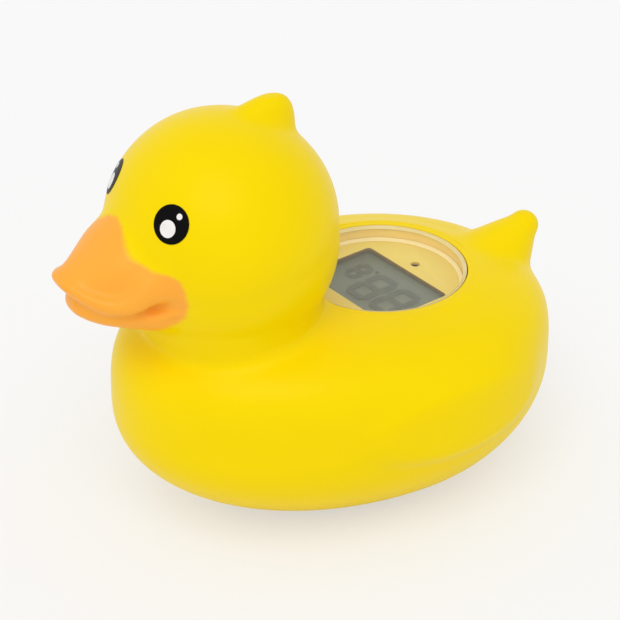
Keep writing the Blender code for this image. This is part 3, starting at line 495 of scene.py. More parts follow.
def bodyBlank(name, inset, sides, levels):
    # sections up from the flat underside, then each half is drawn out to its own length
    half = body["width"] / 2 - inset
    sections = []
    for k in range(levels + 1):
        u = -pi / 2 * body["closed"] + pi * body["closed"] * k / levels
        power = body["shoulder"] if u > 0 else body["belly"]
        share = cos(u) ** (2 / power)
        rise = abs(sin(u)) ** (2 / power)
        z = body["waist"] + rise * (body["top"] - inset - body["waist"]) if u > 0 else \
            body["waist"] - rise * (body["waist"] - body["bottom"] - inset)
        sections.append(((0, body["midY"], z), half * share, half * share))
    obj = stack(name, sections, sides)
    bpy.ops.object.mode_set(mode="EDIT")
    selectVerts(obj, lambda c: c.y < body["midY"] - 1e-6)
    bpy.ops.transform.resize(value=(1, (body["front"] - inset) / half, 1), center_override=(0, body["midY"], 0))
    selectVerts(obj, lambda c: c.y > body["midY"] + 1e-6)
    bpy.ops.transform.resize(value=(1, (body["rear"] - inset) / half, 1), center_override=(0, body["midY"], 0))
    bpy.ops.object.mode_set(mode="OBJECT")
    # the shoulder is a little higher in front: a soft pull on the upper half
    liftStart = display["y"] + body["liftFrom"]

    def liftWeight(c):
        if c.y >= liftStart or c.z <= body["waist"]:
            return 0
        return ((liftStart - c.y) / body["frontSpan"]) ** body["liftPower"] \
            * soft((c.z - body["waist"]) / (body["top"] - body["waist"]))

    lift = paint(obj, "frontLift", liftWeight)
    mod = obj.modifiers.new("Front lift", "DISPLACE")
    mod.direction = "Z"
    mod.mid_level = 0
    mod.strength = body["frontLift"]
    mod.vertex_group = lift
    applyAll(obj)
    return obj


def neckBlank(name, inset, sides):
    join = head["z"] - head["joinShare"] * head["radius"]
    joinRadius = sqrt(head["radius"] ** 2 - (head["z"] - join) ** 2)
    lean = (head["z"] - join) / joinRadius
    drop = join - head["neckZ"]
    sections = []

    def flare(waist, up):
        return waist + (joinRadius - waist) * up ** (lean * drop / (joinRadius - waist))

    for k in range(-2, head["neckSteps"] + 1):
        s = k / head["neckSteps"]
        up = max(s, 0.0)
        wide, deep = flare(head["neckWide"], up), flare(head["neckDeep"], up)
        middle = head["neckY"] + (head["y"] - head["neckY"]) * up
        sections.append(((0, middle, head["neckZ"] + s * drop), wide - inset, deep - inset))
    return stack(name, sections, sides)


def ballBlank(name, radius, sides):
    startFresh()
    bpy.ops.mesh.primitive_uv_sphere_add(segments=sides, ring_count=sides // 2, radius=radius,
                                         location=(0, head["y"], head["z"]))
    return named(name)


bodyForm = bodyBlank("bodyForm", 0, 128, 40)
neckForm = neckBlank("neckForm", 0, 96)
headForm = ballBlank("headForm", head["radius"], 96)
headForm.scale = (head["spread"], head["spread"], head["squash"])
applyPlace(headForm)
cheekForm = ballBlank("cheekForm", head["radius"] - head["cheek"], 96)
cheekForm.location.y += head["lowShift"][0]
cheekForm.location.z += head["lowShift"][1]
applyPlace(cheekForm)

crestSections = []
for q in crest["levels"]:
    front = crest["y"] - crest["front"] * sqrt(1 - q ** crest["frontCurve"])
    rear = crest["y"] + crest["rear"] * sqrt(1 - q ** crest["rearCurve"])
    wide = crest["half"] * sqrt(1 - q ** crest["sideCurve"])
    crestSections.append(((0, (front + rear) / 2, crest["top"] - crest["depth"] * (1 - q)), wide, (rear - front) / 2))
crestForm = stack("crestForm", crestSections, 32)

tailRoot, tailTip = Vector(tail["root"]), Vector(tail["tip"])
tailWay = (tailTip - tailRoot).normalized()
startFresh()
bpy.ops.mesh.primitive_circle_add(vertices=32, radius=tail["rootRadius"], fill_type="NGON", location=tailRoot,
                                  rotation=tailWay.to_track_quat("Z", "Y").to_euler())
tailForm = named("tailForm")
applyPlace(tailForm)
bpy.ops.object.mode_set(mode="EDIT")
bpy.ops.mesh.select_mode(type="FACE")
bpy.ops.mesh.select_all(action="SELECT")
spot, radius = tailRoot.copy(), tail["rootRadius"]
step = (tailTip - tailRoot) / tail["steps"]
for k in range(1, tail["steps"] + 1):
    goal = tail["rootRadius"] + (tail["tipRadius"] - tail["rootRadius"]) * (k / tail["steps"]) ** tail["taper"]
    spot = spot + step
    bpy.ops.mesh.extrude_region_move(TRANSFORM_OT_translate={"value": step})
    bpy.ops.transform.resize(value=(goal / radius,) * 3, center_override=spot)
    radius = goal
for k in range(1, tail["capSteps"] + 1):
    a = pi / 2 * k / tail["capShare"]
    step = tailWay * tail["tipRadius"] * (sin(a) - sin(pi / 2 * (k - 1) / tail["capShare"]))
    goal = tail["tipRadius"] * cos(a)
    spot = spot + step
    bpy.ops.mesh.extrude_region_move(TRANSFORM_OT_translate={"value": step})
    bpy.ops.transform.resize(value=(goal / radius,) * 3, center_override=spot)
    radius = goal
bpy.ops.mesh.select_all(action="SELECT")
bpy.ops.mesh.normals_make_consistent(inside=False)
bpy.ops.object.mode_set(mode="OBJECT")

bill = {
    "lipCorner": 0.66, "stencilFront": -72 * mm, "stencilDeep": 44 * mm,
    # the spray fades over this many millimetres on each side, within these limits
    "sprayReach": 2.0, "sprayHalf": 24 * mm, "sprayRear": -28 * mm, "sprayLow": 44 * mm,
    # the upper bill from inside the head forwards: y, half width, middle height, half height
    "lip": [(-33, 16.2, 67.9, 5.6), (-37, 16.0, 67.9, 5.6), (-41, 15.3, 67.8, 5.5), (-44.5, 14.5, 67.3, 5.0),
            (-45.8, 14.2, 66.3, 4.8), (-47.3, 13.8, 65.3, 4.0), (-49, 13.1, 64.2, 2.9), (-51, 12.0, 63.7, 2.5),
            (-53, 10.5, 63.8, 2.4), (-55, 8.7, 64.5, 2.2), (-56.9, 6.7, 65.7, 1.8), (-58.5, 4.6, 66.8, 1.4),
            (-59.6, 2.4, 67.4, 1.0)],
    # the raised bridge on it
    "bridge": [(-37, 12.7, 67.6, 10.1), (-42, 12.5, 67.7, 10.5), (-46, 11.7, 67.7, 9.7), (-49.5, 9.8, 67.3, 7.8),
               (-53, 7.2, 66.8, 5.3), (-56, 4.9, 66.6, 3.2), (-58.6, 2.8, 66.7, 1.6)],
    # the lower bill
    "jaw": [(-33, 13.6, 58.0, 6.0), (-37, 14.0, 58.2, 6.0), (-40, 13.8, 58.6, 5.7), (-43, 12.9, 59.0, 5.2),
            (-46, 11.6, 59.4, 4.7), (-49, 10.3, 59.8, 4.1), (-52, 8.6, 60.1, 3.5), (-54.5, 6.3, 60.5, 2.8),
            (-56.2, 3.9, 60.9, 2.0), (-57, 1.9, 61.1, 1.2)],
    # the rounded lower lip
    "lowerLip": [(-34, 16.2, 61.4, 2.0), (-37, 15.8, 61.3, 2.0), (-40, 14.9, 60.9, 1.9), (-43, 13.6, 60.3, 1.7),
                 (-46, 12.0, 59.8, 1.5), (-49, 10.5, 59.6, 1.4), (-52, 8.7, 59.7, 1.3), (-54.5, 6.4, 59.9, 1.2),
                 (-56.2, 4.1, 60.2, 1.1), (-57, 2.2, 60.4, 0.8)],
    # painted outline seen from the front: half width, height
    "outline": [(0, 78.3), (3.0, 77.5), (6.0, 75.5), (9.0, 73.1), (12.5, 71.4), (15.2, 70.9), (16.8, 69.7),
                (17.3, 67.3), (17.0, 63.9), (15.8, 60.6), (13.3, 57.7), (9.8, 55.2), (6.0, 52.9), (0, 51.8)],
}


def billSections(rows):
    return [((0, y * mm, z * mm), w * mm, h * mm) for y, w, z, h in rows]


lipForm = stack("lipForm", billSections(bill["lip"]), 64, "Y", bill["lipCorner"])
bridgeForm = stack("bridgeForm", billSections(bill["bridge"]), 48, "Y")
jawForm = stack("jawForm", billSections(bill["jaw"]), 64, "Y")
lowerLipForm = stack("lowerLipForm", billSections(bill["lowerLip"]), 64, "Y")
# a low drum brings the back level up to the lens, so that its rim lies flush
rimForm = drum("rimForm", 0, display["y"], display["opening"] + display["ring"] + display["drumPast"],
               display["rim"] - 8 * mm, display["rim"] + 0.15 * mm)

# all blanks joined and fused into one surface
pick(bodyForm, neckForm, headForm, cheekForm, crestForm, tailForm, lipForm, bridgeForm, jawForm, lowerLipForm, rimForm)
bpy.ops.object.join()
duck = named("duckSkin")
fuse = duck.modifiers.new("Fuse", "REMESH")
fuse.mode = "VOXEL"
fuse.voxel_size = skin["voxel"]
applyAll(duck)
print("skin fused", len(duck.data.polygons))

# where the skin is smoothed
zones = {
    # ramps: where each starts, and over how much it rises to 1
    "billFront": (37 * mm, 4 * mm), "billAbove": (47 * mm, 5 * mm), "billTop": (67 * mm, 2 * mm),
    "mouthFront": (39 * mm, 3 * mm), "mouthAbove": (52 * mm, 3 * mm), "billFootAbove": (66.5 * mm, 2 * mm),
    "neckRear": (-38 * mm, 40 * mm), "crestFront": (5 * mm, 6 * mm), "tailSide": (-15 * mm, 4 * mm),
    # bands: middle, half the full part, and the fade beside it
    "neckAcross": (1.05, 0.12, 0.22), "neckHeight": (49 * mm, 3 * mm, 6 * mm),
    "crestFoot": (0.6 * mm, 1.2 * mm, 2.6 * mm), "billFoot": (0.8 * mm, 1.2 * mm, 2.2 * mm),
    "tailFoot": (8 * mm, 2 * mm, 5 * mm), "rim": (23.6 * mm, 1.6 * mm, 3.2 * mm),
    # plain limits
    "neckLimits": (38 * mm, 60 * mm), "rimLimits": (40 * mm, 54 * mm), "tailFrom": 36 * mm,
    "crestAbove": 82 * mm, "crestHalf": 12 * mm, "crestAlong": (-27 * mm, 2 * mm), "faceFrom": -30 * mm,
    # least weight in the bill, at the front of the neck and behind the crest
    "billKeeps": 0.35, "neckLeast": 0.25, "crestLeast": 0.35,
}


def ramp(value, start, span):
    return soft((value - start) / span)


def band(value, middle, full, fade):
    return 1 - soft((abs(value - middle) - full) / fade)


def offHead(c):
    return (c - headMiddle).length - head["radius"]


def inBill(c):
    return ramp(-c.y, *zones["billFront"]) * ramp(c.z, *zones["billAbove"])


def allWeight(c):
    return 1 - zones["billKeeps"] * inBill(c)


def mouthWeight(c):
    # takes the saw teeth of the blanks off the lips and the mouth line
    return inBill(c) * ramp(c.z, *zones["mouthAbove"]) * ramp(-c.y, *zones["mouthFront"])


def billTopWeight(c):
    return inBill(c) * ramp(c.z, *zones["billTop"])


def rimWeight(c):
    low, high = zones["rimLimits"]
    if c.z < low or c.z > high:
        return 0
    return band(sqrt(c.x ** 2 + (c.y - display["y"]) ** 2), *zones["rim"])


def creaseWeight(c):
    # round the foot of the neck, most at the back
    low, high = zones["neckLimits"]
    if c.z < low or c.z > high:
        return 0
    across = sqrt((c.x / head["neckWide"]) ** 2 + ((c.y - head["neckY"]) / head["neckDeep"]) ** 2)
    rear = zones["neckLeast"] + (1 - zones["neckLeast"]) * ramp(c.y, *zones["neckRear"])
    return band(across, *zones["neckAcross"]) * band(c.z, *zones["neckHeight"]) * rear


def crestWeight(c):
    low, high = zones["crestAlong"]
    if c.z < zones["crestAbove"] or abs(c.x) >= zones["crestHalf"] or c.y <= low or c.y >= high:
        return 0
    front = zones["crestLeast"] + (1 - zones["crestLeast"]) * ramp(-c.y, *zones["crestFront"])
    return band(offHead(c), *zones["crestFoot"]) * front


def tailWeight(c):
    if c.y < zones["tailFrom"]:
        return 0
    return band((c - tailRoot).dot(tailWay), *zones["tailFoot"]) * ramp(-abs(c.x), *zones["tailSide"])


def billFootWeight(c):
    # where the bill runs into the face
    if c.y > zones["faceFrom"]:
        return 0
    return band(offHead(c), *zones["billFoot"]) * ramp(c.z, *zones["billFootAbove"])


turns = skin["turns"]
finer = (skin["tunedAt"] / skin["voxel"]) ** 2
relax(duck, turns["all"], 0.5, paint(duck, "all", allWeight))
for name, weight in (("mouth", mouthWeight), ("billTop", billTopWeight), ("rim", rimWeight), ("crease", creaseWeight),
                     ("crestFoot", crestWeight), ("tailFoot", tailWeight), ("billFoot", billFootWeight)):
    relax(duck, int(turns[name] * finer), 0.5, paint(duck, name, weight))


def wingWeight(c):
    if abs(c.x) < wing["inner"]:
        return 0
    u = (c.y - wing["midY"]) / wing["half"]
    v = (c.z - wing["midZ"]) / wing["high"]
    reach = (abs(u) ** wing["round"] + abs(v) ** wing["round"]) ** (1 / wing["round"])
    return soft((1 - reach) / (wing["edge"] + wing["upperEdge"] * soft(v)))


wingLift = duck.modifiers.new("Wing", "DISPLACE")
wingLift.strength = wing["rise"]
wingLift.mid_level = 0
wingLift.vertex_group = paint(duck, "wing", wingWeight)
applyAll(duck)
relax(duck, turns["last"])
duck.vertex_groups.clear()
print("skin shaped")

# hollow it, then open the back and the base
cavity = bodyBlank("cavity", body["wall"], 48, 16)
neckCavity = neckBlank("neckCavity", body["wall"], 36)
headCavity = ballBlank("headCavity", head["radius"] - body["wall"], 36)
applyPlace(headCavity)
for hollow in (cavity, neckCavity, headCavity):
    carve(duck, hollow)
rim, opening = display["rim"], display["opening"]
carve(duck, drum("rimLevel", 0, display["y"], opening + display["ring"], rim, rim + 4 * mm))
carve(duck, drum("collar", 0, display["y"], opening + display["collar"], rim - 9 * mm, rim), "UNION")
carve(duck, drum("backHole", 0, display["y"], opening, rim - 18 * mm, rim + 3 * mm))
carve(duck, drum("baseHole", 0, display["y"], skin["baseHole"], -8 * mm, 8 * mm))
# whatever lies under the ground is cut off flat
startFresh()
bpy.ops.mesh.primitive_cube_add(size=1, location=(0, 0, -5 * mm), scale=(0.2, 0.2, 0.01))
ground = named("ground")
applyPlace(ground)
carve(duck, ground)
print("skin opened", len(duck.data.polygons))

# the painted bill is parted from the yellow along its outline
startFresh()
nearSide = bill["outline"]
loop = nearSide + [(-x, z) for x, z in reversed(nearSide[1:-1])]
stencilMesh = bpy.data.meshes.new("stencil")
stencilMesh.from_pydata([(x * mm, bill["stencilFront"], z * mm) for x, z in loop], [], [list(range(len(loop)))])
stencil = bpy.data.objects.new("stencil", stencilMesh)
bpy.context.scene.collection.objects.link(stencil)
pick(stencil)
bpy.ops.object.mode_set(mode="EDIT")
bpy.ops.mesh.select_all(action="SELECT")
bpy.ops.mesh.extrude_region_move(TRANSFORM_OT_translate={"value": (0, bill["stencilDeep"], 0)})
bpy.ops.mesh.select_all(action="SELECT")
bpy.ops.mesh.normals_make_consistent(inside=False)
bpy.ops.object.mode_set(mode="OBJECT")
billPiece = copyOf(duck, "duckBill")
carve(billPiece, stencil, "INTERSECT", keep=True)
carve(duck, stencil)
print("bill parted", len(billPiece.data.polygons))


def segmentDistance(p, a, b):
    d = b - a
    t = max(0.0, min(1.0, (p - a).dot(d) / d.length_squared))
    return (p - a - d * t).length


def sprayAttribute(obj):
    # 1 inside the painted outline, 0 outside, half on the line
    edge = [Vector((x, z)) for x, z in loop]
    pairs = list(zip(edge, edge[1:] + edge[:1]))
    values = []
    for v in obj.data.vertices:
        if v.co.y > bill["sprayRear"] or abs(v.co.x) > bill["sprayHalf"] or v.co.z < bill["sprayLow"]:
            values.append(0.0)
            continue
        p = Vector((v.co.x / mm, v.co.z / mm))
        inside = False
        for a, b in pairs:
            if (a.y > p.y) != (b.y > p.y) and p.x < (b.x - a.x) * (p.y - a.y) / (b.y - a.y) + a.x:
                inside = not inside
        far = min(segmentDistance(p, a, b) for a, b in pairs)
        signed = far if inside else -far
        values.append(max(0.0, min(1.0, 0.5 + signed / (2 * bill["sprayReach"]))))
    layer = obj.data.attributes.new("spray", "FLOAT", "POINT")
    layer.data.foreach_set("value", values)


for piece in (duck, billPiece):
    sprayAttribute(piece)
    pick(piece)
    bpy.ops.object.shade_smooth_by_angle(angle=skin["smoothAngle"])

vinyl = {
    "yellow": (0.93, 0.685, 0.0), "orange": (0.985, 0.415, 0.042), "roughness": 0.33, "blur": 0.14,
    # reflection level and tint of the yellow and of the painted bill
    "duckVinyl": (0.12, (1, 0.93, 0.45)), "billVinyl": (0.22, (1, 0.97, 0.8)),
}


def vinylFinish(name):
    gloss, tint = vinyl[name]
    mat = plasticFinish(name, vinyl["yellow"], roughness=vinyl["roughness"], spread=0.05, grain=3200.0, bump=0.04,
                        drift=0.012, patch=45.0, specular=gloss)
    tree = mat.node_tree
    shader = tree.nodes["Principled BSDF"]
    shader.inputs["Specular Tint"].default_value = (*tint, 1)
    spray = useGroup(tree, sprayEdge, Paint=(*vinyl["orange"], 1), Blur=vinyl["blur"])
    tone = shader.inputs["Base Color"].links[0].from_node
    tree.links.new(tone.outputs["Color"], spray.inputs["Under"])
    tree.links.new(spray.outputs["Color"], shader.inputs["Base Color"])
    return mat


dress(duck, vinylFinish("duckVinyl"))
dress(billPiece, vinylFinish("billVinyl"))
setParent(duck, "duck_yellow", "duck_shell")
setParent(billPiece, "bill_orange", "bill")


# the printed eyes
eye = {
    # where each eye looks: turn from straight ahead, lift above level
    "places": {"Left": (radians(35.9), radians(25.3)), "Right": (radians(-28.6), radians(26.8))},
    "halfWide": 3.99 * mm, "halfHigh": 4.15 * mm, "thick": 0.1 * mm, "stand": 0.03 * mm, "spotPast": 0.06 * mm,
    "above": 0.4 * mm, "rings": 7,
    # the white spots: across, up, half width, half height, in millimetres
    "spots": {"Large": (-0.5, -1.03, 1.74, 1.84), "Small": (1.6, 1.88, 0.62, 0.66)},
}


def printedOval(name, place, u, v, halfU, halfV, stand, sides=64):
    # a flat oval laid on the face, wrapped to the skin and given the thickness of a print
    turn, lift = place
    out = Vector((sin(turn) * cos(lift), -cos(turn) * cos(lift), sin(lift)))
    side = Vector((cos(turn), sin(turn), 0))
    up = side.cross(-out)
    spotAt = headMiddle + out * (head["radius"] + eye["above"]) + side * u + up * v
    startFresh()
    bpy.ops.mesh.primitive_circle_add(vertices=sides, radius=1 * mm, fill_type="NGON")
    obj = named(name)
    bpy.ops.object.mode_set(mode="EDIT")
    bpy.ops.mesh.select_mode(type="FACE")
    bpy.ops.mesh.select_all(action="SELECT")
    bpy.ops.transform.resize(value=(halfU / mm, halfV / mm, 1))
    for ring in range(eye["rings"]):
        bpy.ops.mesh.inset(thickness=min(halfU, halfV) / (eye["rings"] + 1), depth=0)
    bpy.ops.mesh.poke()
    bpy.ops.object.mode_set(mode="OBJECT")
    obj.location = spotAt
    obj.rotation_euler = out.to_track_quat("Z", "Y").to_euler()
    applyPlace(obj)
    wrap = obj.modifiers.new("Wrap", "SHRINKWRAP")
    wrap.target = duck
    wrap.wrap_method = "NEAREST_SURFACEPOINT"
    wrap.wrap_mode = "ABOVE_SURFACE"
    wrap.offset = stand
    thick = obj.modifiers.new("Print", "SOLIDIFY")
    thick.thickness = eye["thick"]
    thick.offset = 0.2
    applyAll(obj)
    closeUp(obj, 1e-7)
    pick(obj)
    bpy.ops.object.shade_smooth_by_angle(angle=skin["smoothAngle"])
    return obj


printBlack = plasticFinish("printBlack", (0.0035, 0.003, 0.003), roughness=0.34, grain=5200.0, bump=0.1, drift=0.2,
                           patch=800.0, specular=0.05)
printWhite = plasticFinish("printWhite", (0.86, 0.83, 0.80), roughness=0.45, grain=4200.0, bump=0.05, drift=0.04,
                           patch=900.0)
for label, sign in (("Left", 1), ("Right", -1)):
    low = label.lower()
    oval = printedOval("eyePrint" + label, eye["places"][label], 0, 0, eye["halfWide"], eye["halfHigh"], eye["stand"])
    dress(oval, printBlack)
    setParent(oval, "print_black", "eye_" + low)
    for size, (u, v, halfU, halfV) in eye["spots"].items():
        glint = printedOval("eyeGlint" + size + label, eye["places"][label], u * sign * mm, v * mm, halfU * mm,
                            halfV * mm, eye["stand"] + eye["spotPast"], 40)
        dress(glint, printWhite)
        setParent(glint, "print_white", "eye_glint_" + size.lower() + "_" + low)
print("eyes printed")


# the display set in the back, under its clear lens, in millimetres
window = {
    "x": 0.55, "y": -1.90, "halfX": 13.55, "halfY": 9.25, "corner": 1.0,
    "ledX": -0.6, "ledY": 10.6, "led": 1.05,
}
panel = {
    "overlap": 0.35, "corner": 0.5, "filmLow": 43.0, "filmHigh": 44.03,
    "trayLow": 41.25, "trayFloor": 42.05, "trayRim": 42.95,
    "barLow": 42.35, "barHigh": 42.62, "digitWide": 6.8, "digitHigh": 11.2, "stroke": 1.5, "gap": 0.42,
    # middle of each digit and its share of the full size
    "digits": [(6.2, -1.1, 1.0), (-1.8, -1.0, 1.0), (-9.2, 1.2, 0.6)],
    "point": (-6.2, 4.2, 0.5),
    "tipShare": 0.866, "flatCut": 0.55, "smallStroke": 0.75, "trayWall": 0.3, "filmEdge": 0.06, "trayEdge": 0.04,
}
maskDisc = {"radius": 18.75, "low": 44.1, "high": 44.9, "edge": 0.07}
lensCap = {
    "radius": 19.1, "low": 46.6, "high": 48.2, "dome": 0.16, "skirtIn": 18.45, "skirtLow": 45.2, "skirtHigh": 47.68,
    "sunk": 0.5, "rimWide": 0.85, "skirtEdge": 0.1,
    "domeRings": [(13.5, 0.5), (7.0, 0.87), (2.0, 1.0)],   # radius and share of the dome
}
innerRing = {"inner": 17.5, "outer": 18.4, "low": 44.92, "high": 45.45}


def seatDisplay(obj):
    # the display lies a little turned in the back
    obj.rotation_euler = (0, 0, display["turn"])
    obj.location = (0, display["y"], 0)
    applyPlace(obj)


def bevelled(obj, width, steps=2, limit=50):
    mod = obj.modifiers.new("Edge", "BEVEL")
    mod.width = width * mm
    mod.segments = steps
    mod.limit_method = "ANGLE"
    mod.angle_limit = radians(limit)
    applyAll(obj)
    pick(obj)
    bpy.ops.object.shade_smooth_by_angle(angle=display["smoothAngle"])


def slab(name, x, y, halfX, halfY, corner, low, high):
    # a flat plate with rounded corners, sizes in millimetres
    startFresh()
    bpy.ops.mesh.primitive_plane_add(size=2 * mm, location=(0, 0, 0))
    obj = named(name)
    bpy.ops.object.mode_set(mode="EDIT")
    bpy.ops.mesh.select_all(action="SELECT")
    bpy.ops.transform.resize(value=(halfX, halfY, 1), center_override=(0, 0, 0))
    bpy.ops.mesh.bevel(offset=corner * mm, segments=6, affect="VERTICES")
    bpy.ops.mesh.select_all(action="SELECT")
    bpy.ops.transform.translate(value=(x * mm, y * mm, low * mm))
    bpy.ops.mesh.select_mode(type="FACE")
    bpy.ops.mesh.extrude_region_move(TRANSFORM_OT_translate={"value": (0, 0, (high - low) * mm)})
    bpy.ops.mesh.select_all(action="SELECT")
    bpy.ops.mesh.normals_make_consistent(inside=False)
    bpy.ops.object.mode_set(mode="OBJECT")
    return obj


def roundPart(name, rings, sides=128):
    # turned part on the display's middle: (height, radius) pairs from the bottom up
    return stack(name, [((0, 0, z * mm), r * mm, r * mm) for z, r in rings], sides)


def ringPart(name, inner, outer, low, high, edge, sides=128):
    obj = roundPart(name, [(low, outer), (high, outer)], sides)
    carve(obj, roundPart(name + "Hole", [(low - 1, inner), (high + 1, inner)], sides))
    bevelled(obj, edge)
    return obj


def slopedRing(name, inner, outer, low, high):
    # a ring whose inner side slopes, as the moulded edge does
    obj = roundPart(name, [(low, outer), (high, outer)])
    carve(obj, roundPart(name + "Cone", [(low - 0.1, inner - 0.02), (low + 0.05, inner), (high - 0.02, outer - 0.12),
                                         (high + 0.3, outer - 0.08)]))
    bevelled(obj, 0.05)
    return obj


# clear lens, a little domed, with a skirt that stands in the well
c = lensCap
glassTop = c["high"] - c["sunk"]
lensRings = [(c["low"], c["skirtIn"] - 0.3), (c["low"] + 0.15, c["skirtIn"] - 0.05),
             (c["high"] - 0.6, c["skirtIn"] - 0.05), (glassTop, c["skirtIn"] - 0.2)]
lensPiece = roundPart("clearLens", lensRings + [(glassTop + c["dome"] * share, r) for r, share in c["domeRings"]])
skirtPiece = ringPart("lensSkirt", c["skirtIn"], c["radius"], c["skirtLow"], c["skirtHigh"], c["skirtEdge"])
rimPiece = slopedRing("lensRim", c["radius"] - c["rimWide"], c["radius"] + 0.02, glassTop, c["high"] + 0.02)
ringPiece = slopedRing("sealRing", innerRing["inner"], innerRing["outer"], innerRing["low"], innerRing["high"])

maskPiece = roundPart("displayMask", [(maskDisc["low"], maskDisc["radius"]), (maskDisc["high"], maskDisc["radius"])])
w = window
carve(maskPiece, slab("windowCut", w["x"], w["y"], w["halfX"], w["halfY"], w["corner"], maskDisc["low"] - 1,
                      maskDisc["high"] + 1))
ledHole = roundPart("ledHole", [(maskDisc["low"] - 1, w["led"]), (maskDisc["high"] + 1, w["led"])], 32)
ledHole.location = (w["ledX"] * mm, w["ledY"] * mm, 0)
applyPlace(ledHole)
carve(maskPiece, ledHole)
bevelled(maskPiece, maskDisc["edge"])

panelPlan = (w["x"], w["y"], w["halfX"] + panel["overlap"], w["halfY"] + panel["overlap"], panel["corner"])
filmPiece = slab("panelFilm", *panelPlan, panel["filmLow"], panel["filmHigh"])
bevelled(filmPiece, panel["filmEdge"])
trayPiece = slab("panelTray", *panelPlan, panel["trayLow"], panel["trayRim"])
pick(trayPiece)
bpy.ops.object.mode_set(mode="EDIT")
selectFaces(trayPiece, lambda f: f.normal.z > 0.9)
bpy.ops.mesh.inset(thickness=panel["trayWall"] * mm, depth=0)
bpy.ops.transform.translate(value=(0, 0, (panel["trayFloor"] - panel["trayRim"]) * mm))
bpy.ops.object.mode_set(mode="OBJECT")
bevelled(trayPiece, panel["trayEdge"])


def digitBar(name, length, stroke):
    # one bar of a digit with pointed ends, standing along y
    point = stroke / 2 / panel["tipShare"]
    startFresh()
    bpy.ops.mesh.primitive_circle_add(vertices=6, radius=point * mm, fill_type="NGON", location=(0, 0, 0))
    obj = named(name)
    bpy.ops.object.mode_set(mode="EDIT")
    for way in (1, -1):
        selectVerts(obj, lambda c: c.y * way > 0.05 * mm)
        bpy.ops.transform.translate(value=(0, way * (length / 2 - point) * mm, 0))
    bpy.ops.mesh.select_mode(type="FACE")
    bpy.ops.mesh.select_all(action="SELECT")
    thick = (panel["barHigh"] - panel["barLow"]) * mm
    bpy.ops.mesh.extrude_region_move(TRANSFORM_OT_translate={"value": (0, 0, thick)})
    bpy.ops.mesh.select_all(action="SELECT")
    bpy.ops.mesh.normals_make_consistent(inside=False)
    bpy.ops.object.mode_set(mode="OBJECT")
    return obj


bars = []
for number, (x, y, share) in enumerate(panel["digits"]):
    wide, high = panel["digitWide"] * share, panel["digitHigh"] * share
    stroke = panel["stroke"] * (1 if share == 1 else panel["smallStroke"])
    flat = digitBar("flatBar%d" % number, wide - stroke * panel["flatCut"] - panel["gap"], stroke)
    tall = digitBar("tallBar%d" % number, (high - stroke) / 2 - panel["gap"], stroke)
    for spot in (-1, 0, 1):
        bar = copyOf(flat, "bar")
        bar.rotation_euler = (0, 0, pi / 2)
        bar.location = (x * mm, (y + spot * (high - stroke) / 2) * mm, panel["barLow"] * mm)
        bars.append(bar)
    for across in (-1, 1):
        for along in (-1, 1):
            bar = copyOf(tall, "bar")
            bar.location = ((x + across * (wide - stroke) / 2) * mm, (y + along * (high - stroke) / 4) * mm,
                            panel["barLow"] * mm)
            bars.append(bar)
    for blank in (flat, tall):
        bpy.data.objects.remove(blank)
px, py, pr = panel["point"]
dot = roundPart("dot", [(panel["barLow"], pr), (panel["barHigh"], pr)], 20)
dot.location = (px * mm, py * mm, 0)
applyPlace(dot)
pick(dot, *bars)
bpy.ops.object.join()
barPiece = named("panelDigits")
applyPlace(barPiece)

displayPieces = [
    (lensPiece, "lensClear", "clear_plastic", "display_lens"), (skirtPiece, "lensSkirt", "clear_plastic", None),
    (rimPiece, "lensRim", "clear_plastic", None), (ringPiece, "sealRingHighlight", "rubber_grey", "lens_gasket"),
    (maskPiece, "maskYellow", "mask_yellow", "mask_plate"), (filmPiece, "panelFilm", "lcd_glass", "lcd_front_glass"),
    (trayPiece, "panelTray", "lcd_grey", "lcd_rear_glass"), (barPiece, "panelDigits", "lcd_segments", "lcd_segments"),
]
displayFinishes = {
    "lensClear": plasticFinish("lensClear", (0.92, 0.91, 0.86), 0.08, 0.02, 1500.0, 0.01, 0.01, alpha=0.045, ior=1.49),
    # the clear skirt is painted an opaque pale peach: the yellow wall behind it, with the clear plastic's sheen
    # painted in
    "lensSkirt": plasticFinish("lensSkirt", (0.98, 0.75, 0.27), 0.3, 0.04, 1500.0, 0.02, 0.02, ior=1.49),
    # the clear rim is painted a bright cream: a painted highlight along the lens edge
    "lensRim": plasticFinish("lensRim", (0.97, 0.84, 0.42), 0.2, 0.04, 1500.0, 0.02, 0.02, alpha=0.7, ior=1.49),
    # the seal ring is painted a bright cream: a painted highlight on the ring at the foot of the well
    "sealRingHighlight": plasticFinish("sealRingHighlight", (0.97, 0.82, 0.40), 0.5, 0.08, 1800.0, 0.05, 0.03),
    "maskYellow": plasticFinish("maskYellow", (0.86, 0.665, 0.13), 0.5, 0.05, 2600.0, 0.03, 0.02, specular=0.3),
    "panelFilm": plasticFinish("panelFilm", (0.27, 0.30, 0.23), 0.3, 0.05, 900.0, 0.01, 0.03, alpha=0.3),
    "panelTray": plasticFinish("panelTray", (0.37, 0.41, 0.30), 0.5, 0.05, 1600.0, 0.02, 0.05),
    "panelDigits": plasticFinish("panelDigits", (0.03, 0.045, 0.035), 0.4, 0.05, 1600.0, 0.02, 0.05),
}
# painted shade: a dark brown for the window's cut edge
windowEdgeShade = plasticFinish("windowEdgeShade", (0.32, 0.20, 0.075), 0.6, 0.05, 2600.0, 0.03, 0.05)
filmSide = plasticFinish("filmSide", (0.20, 0.20, 0.13), 0.5, 0.05, 1600.0, 0.02, 0.04)
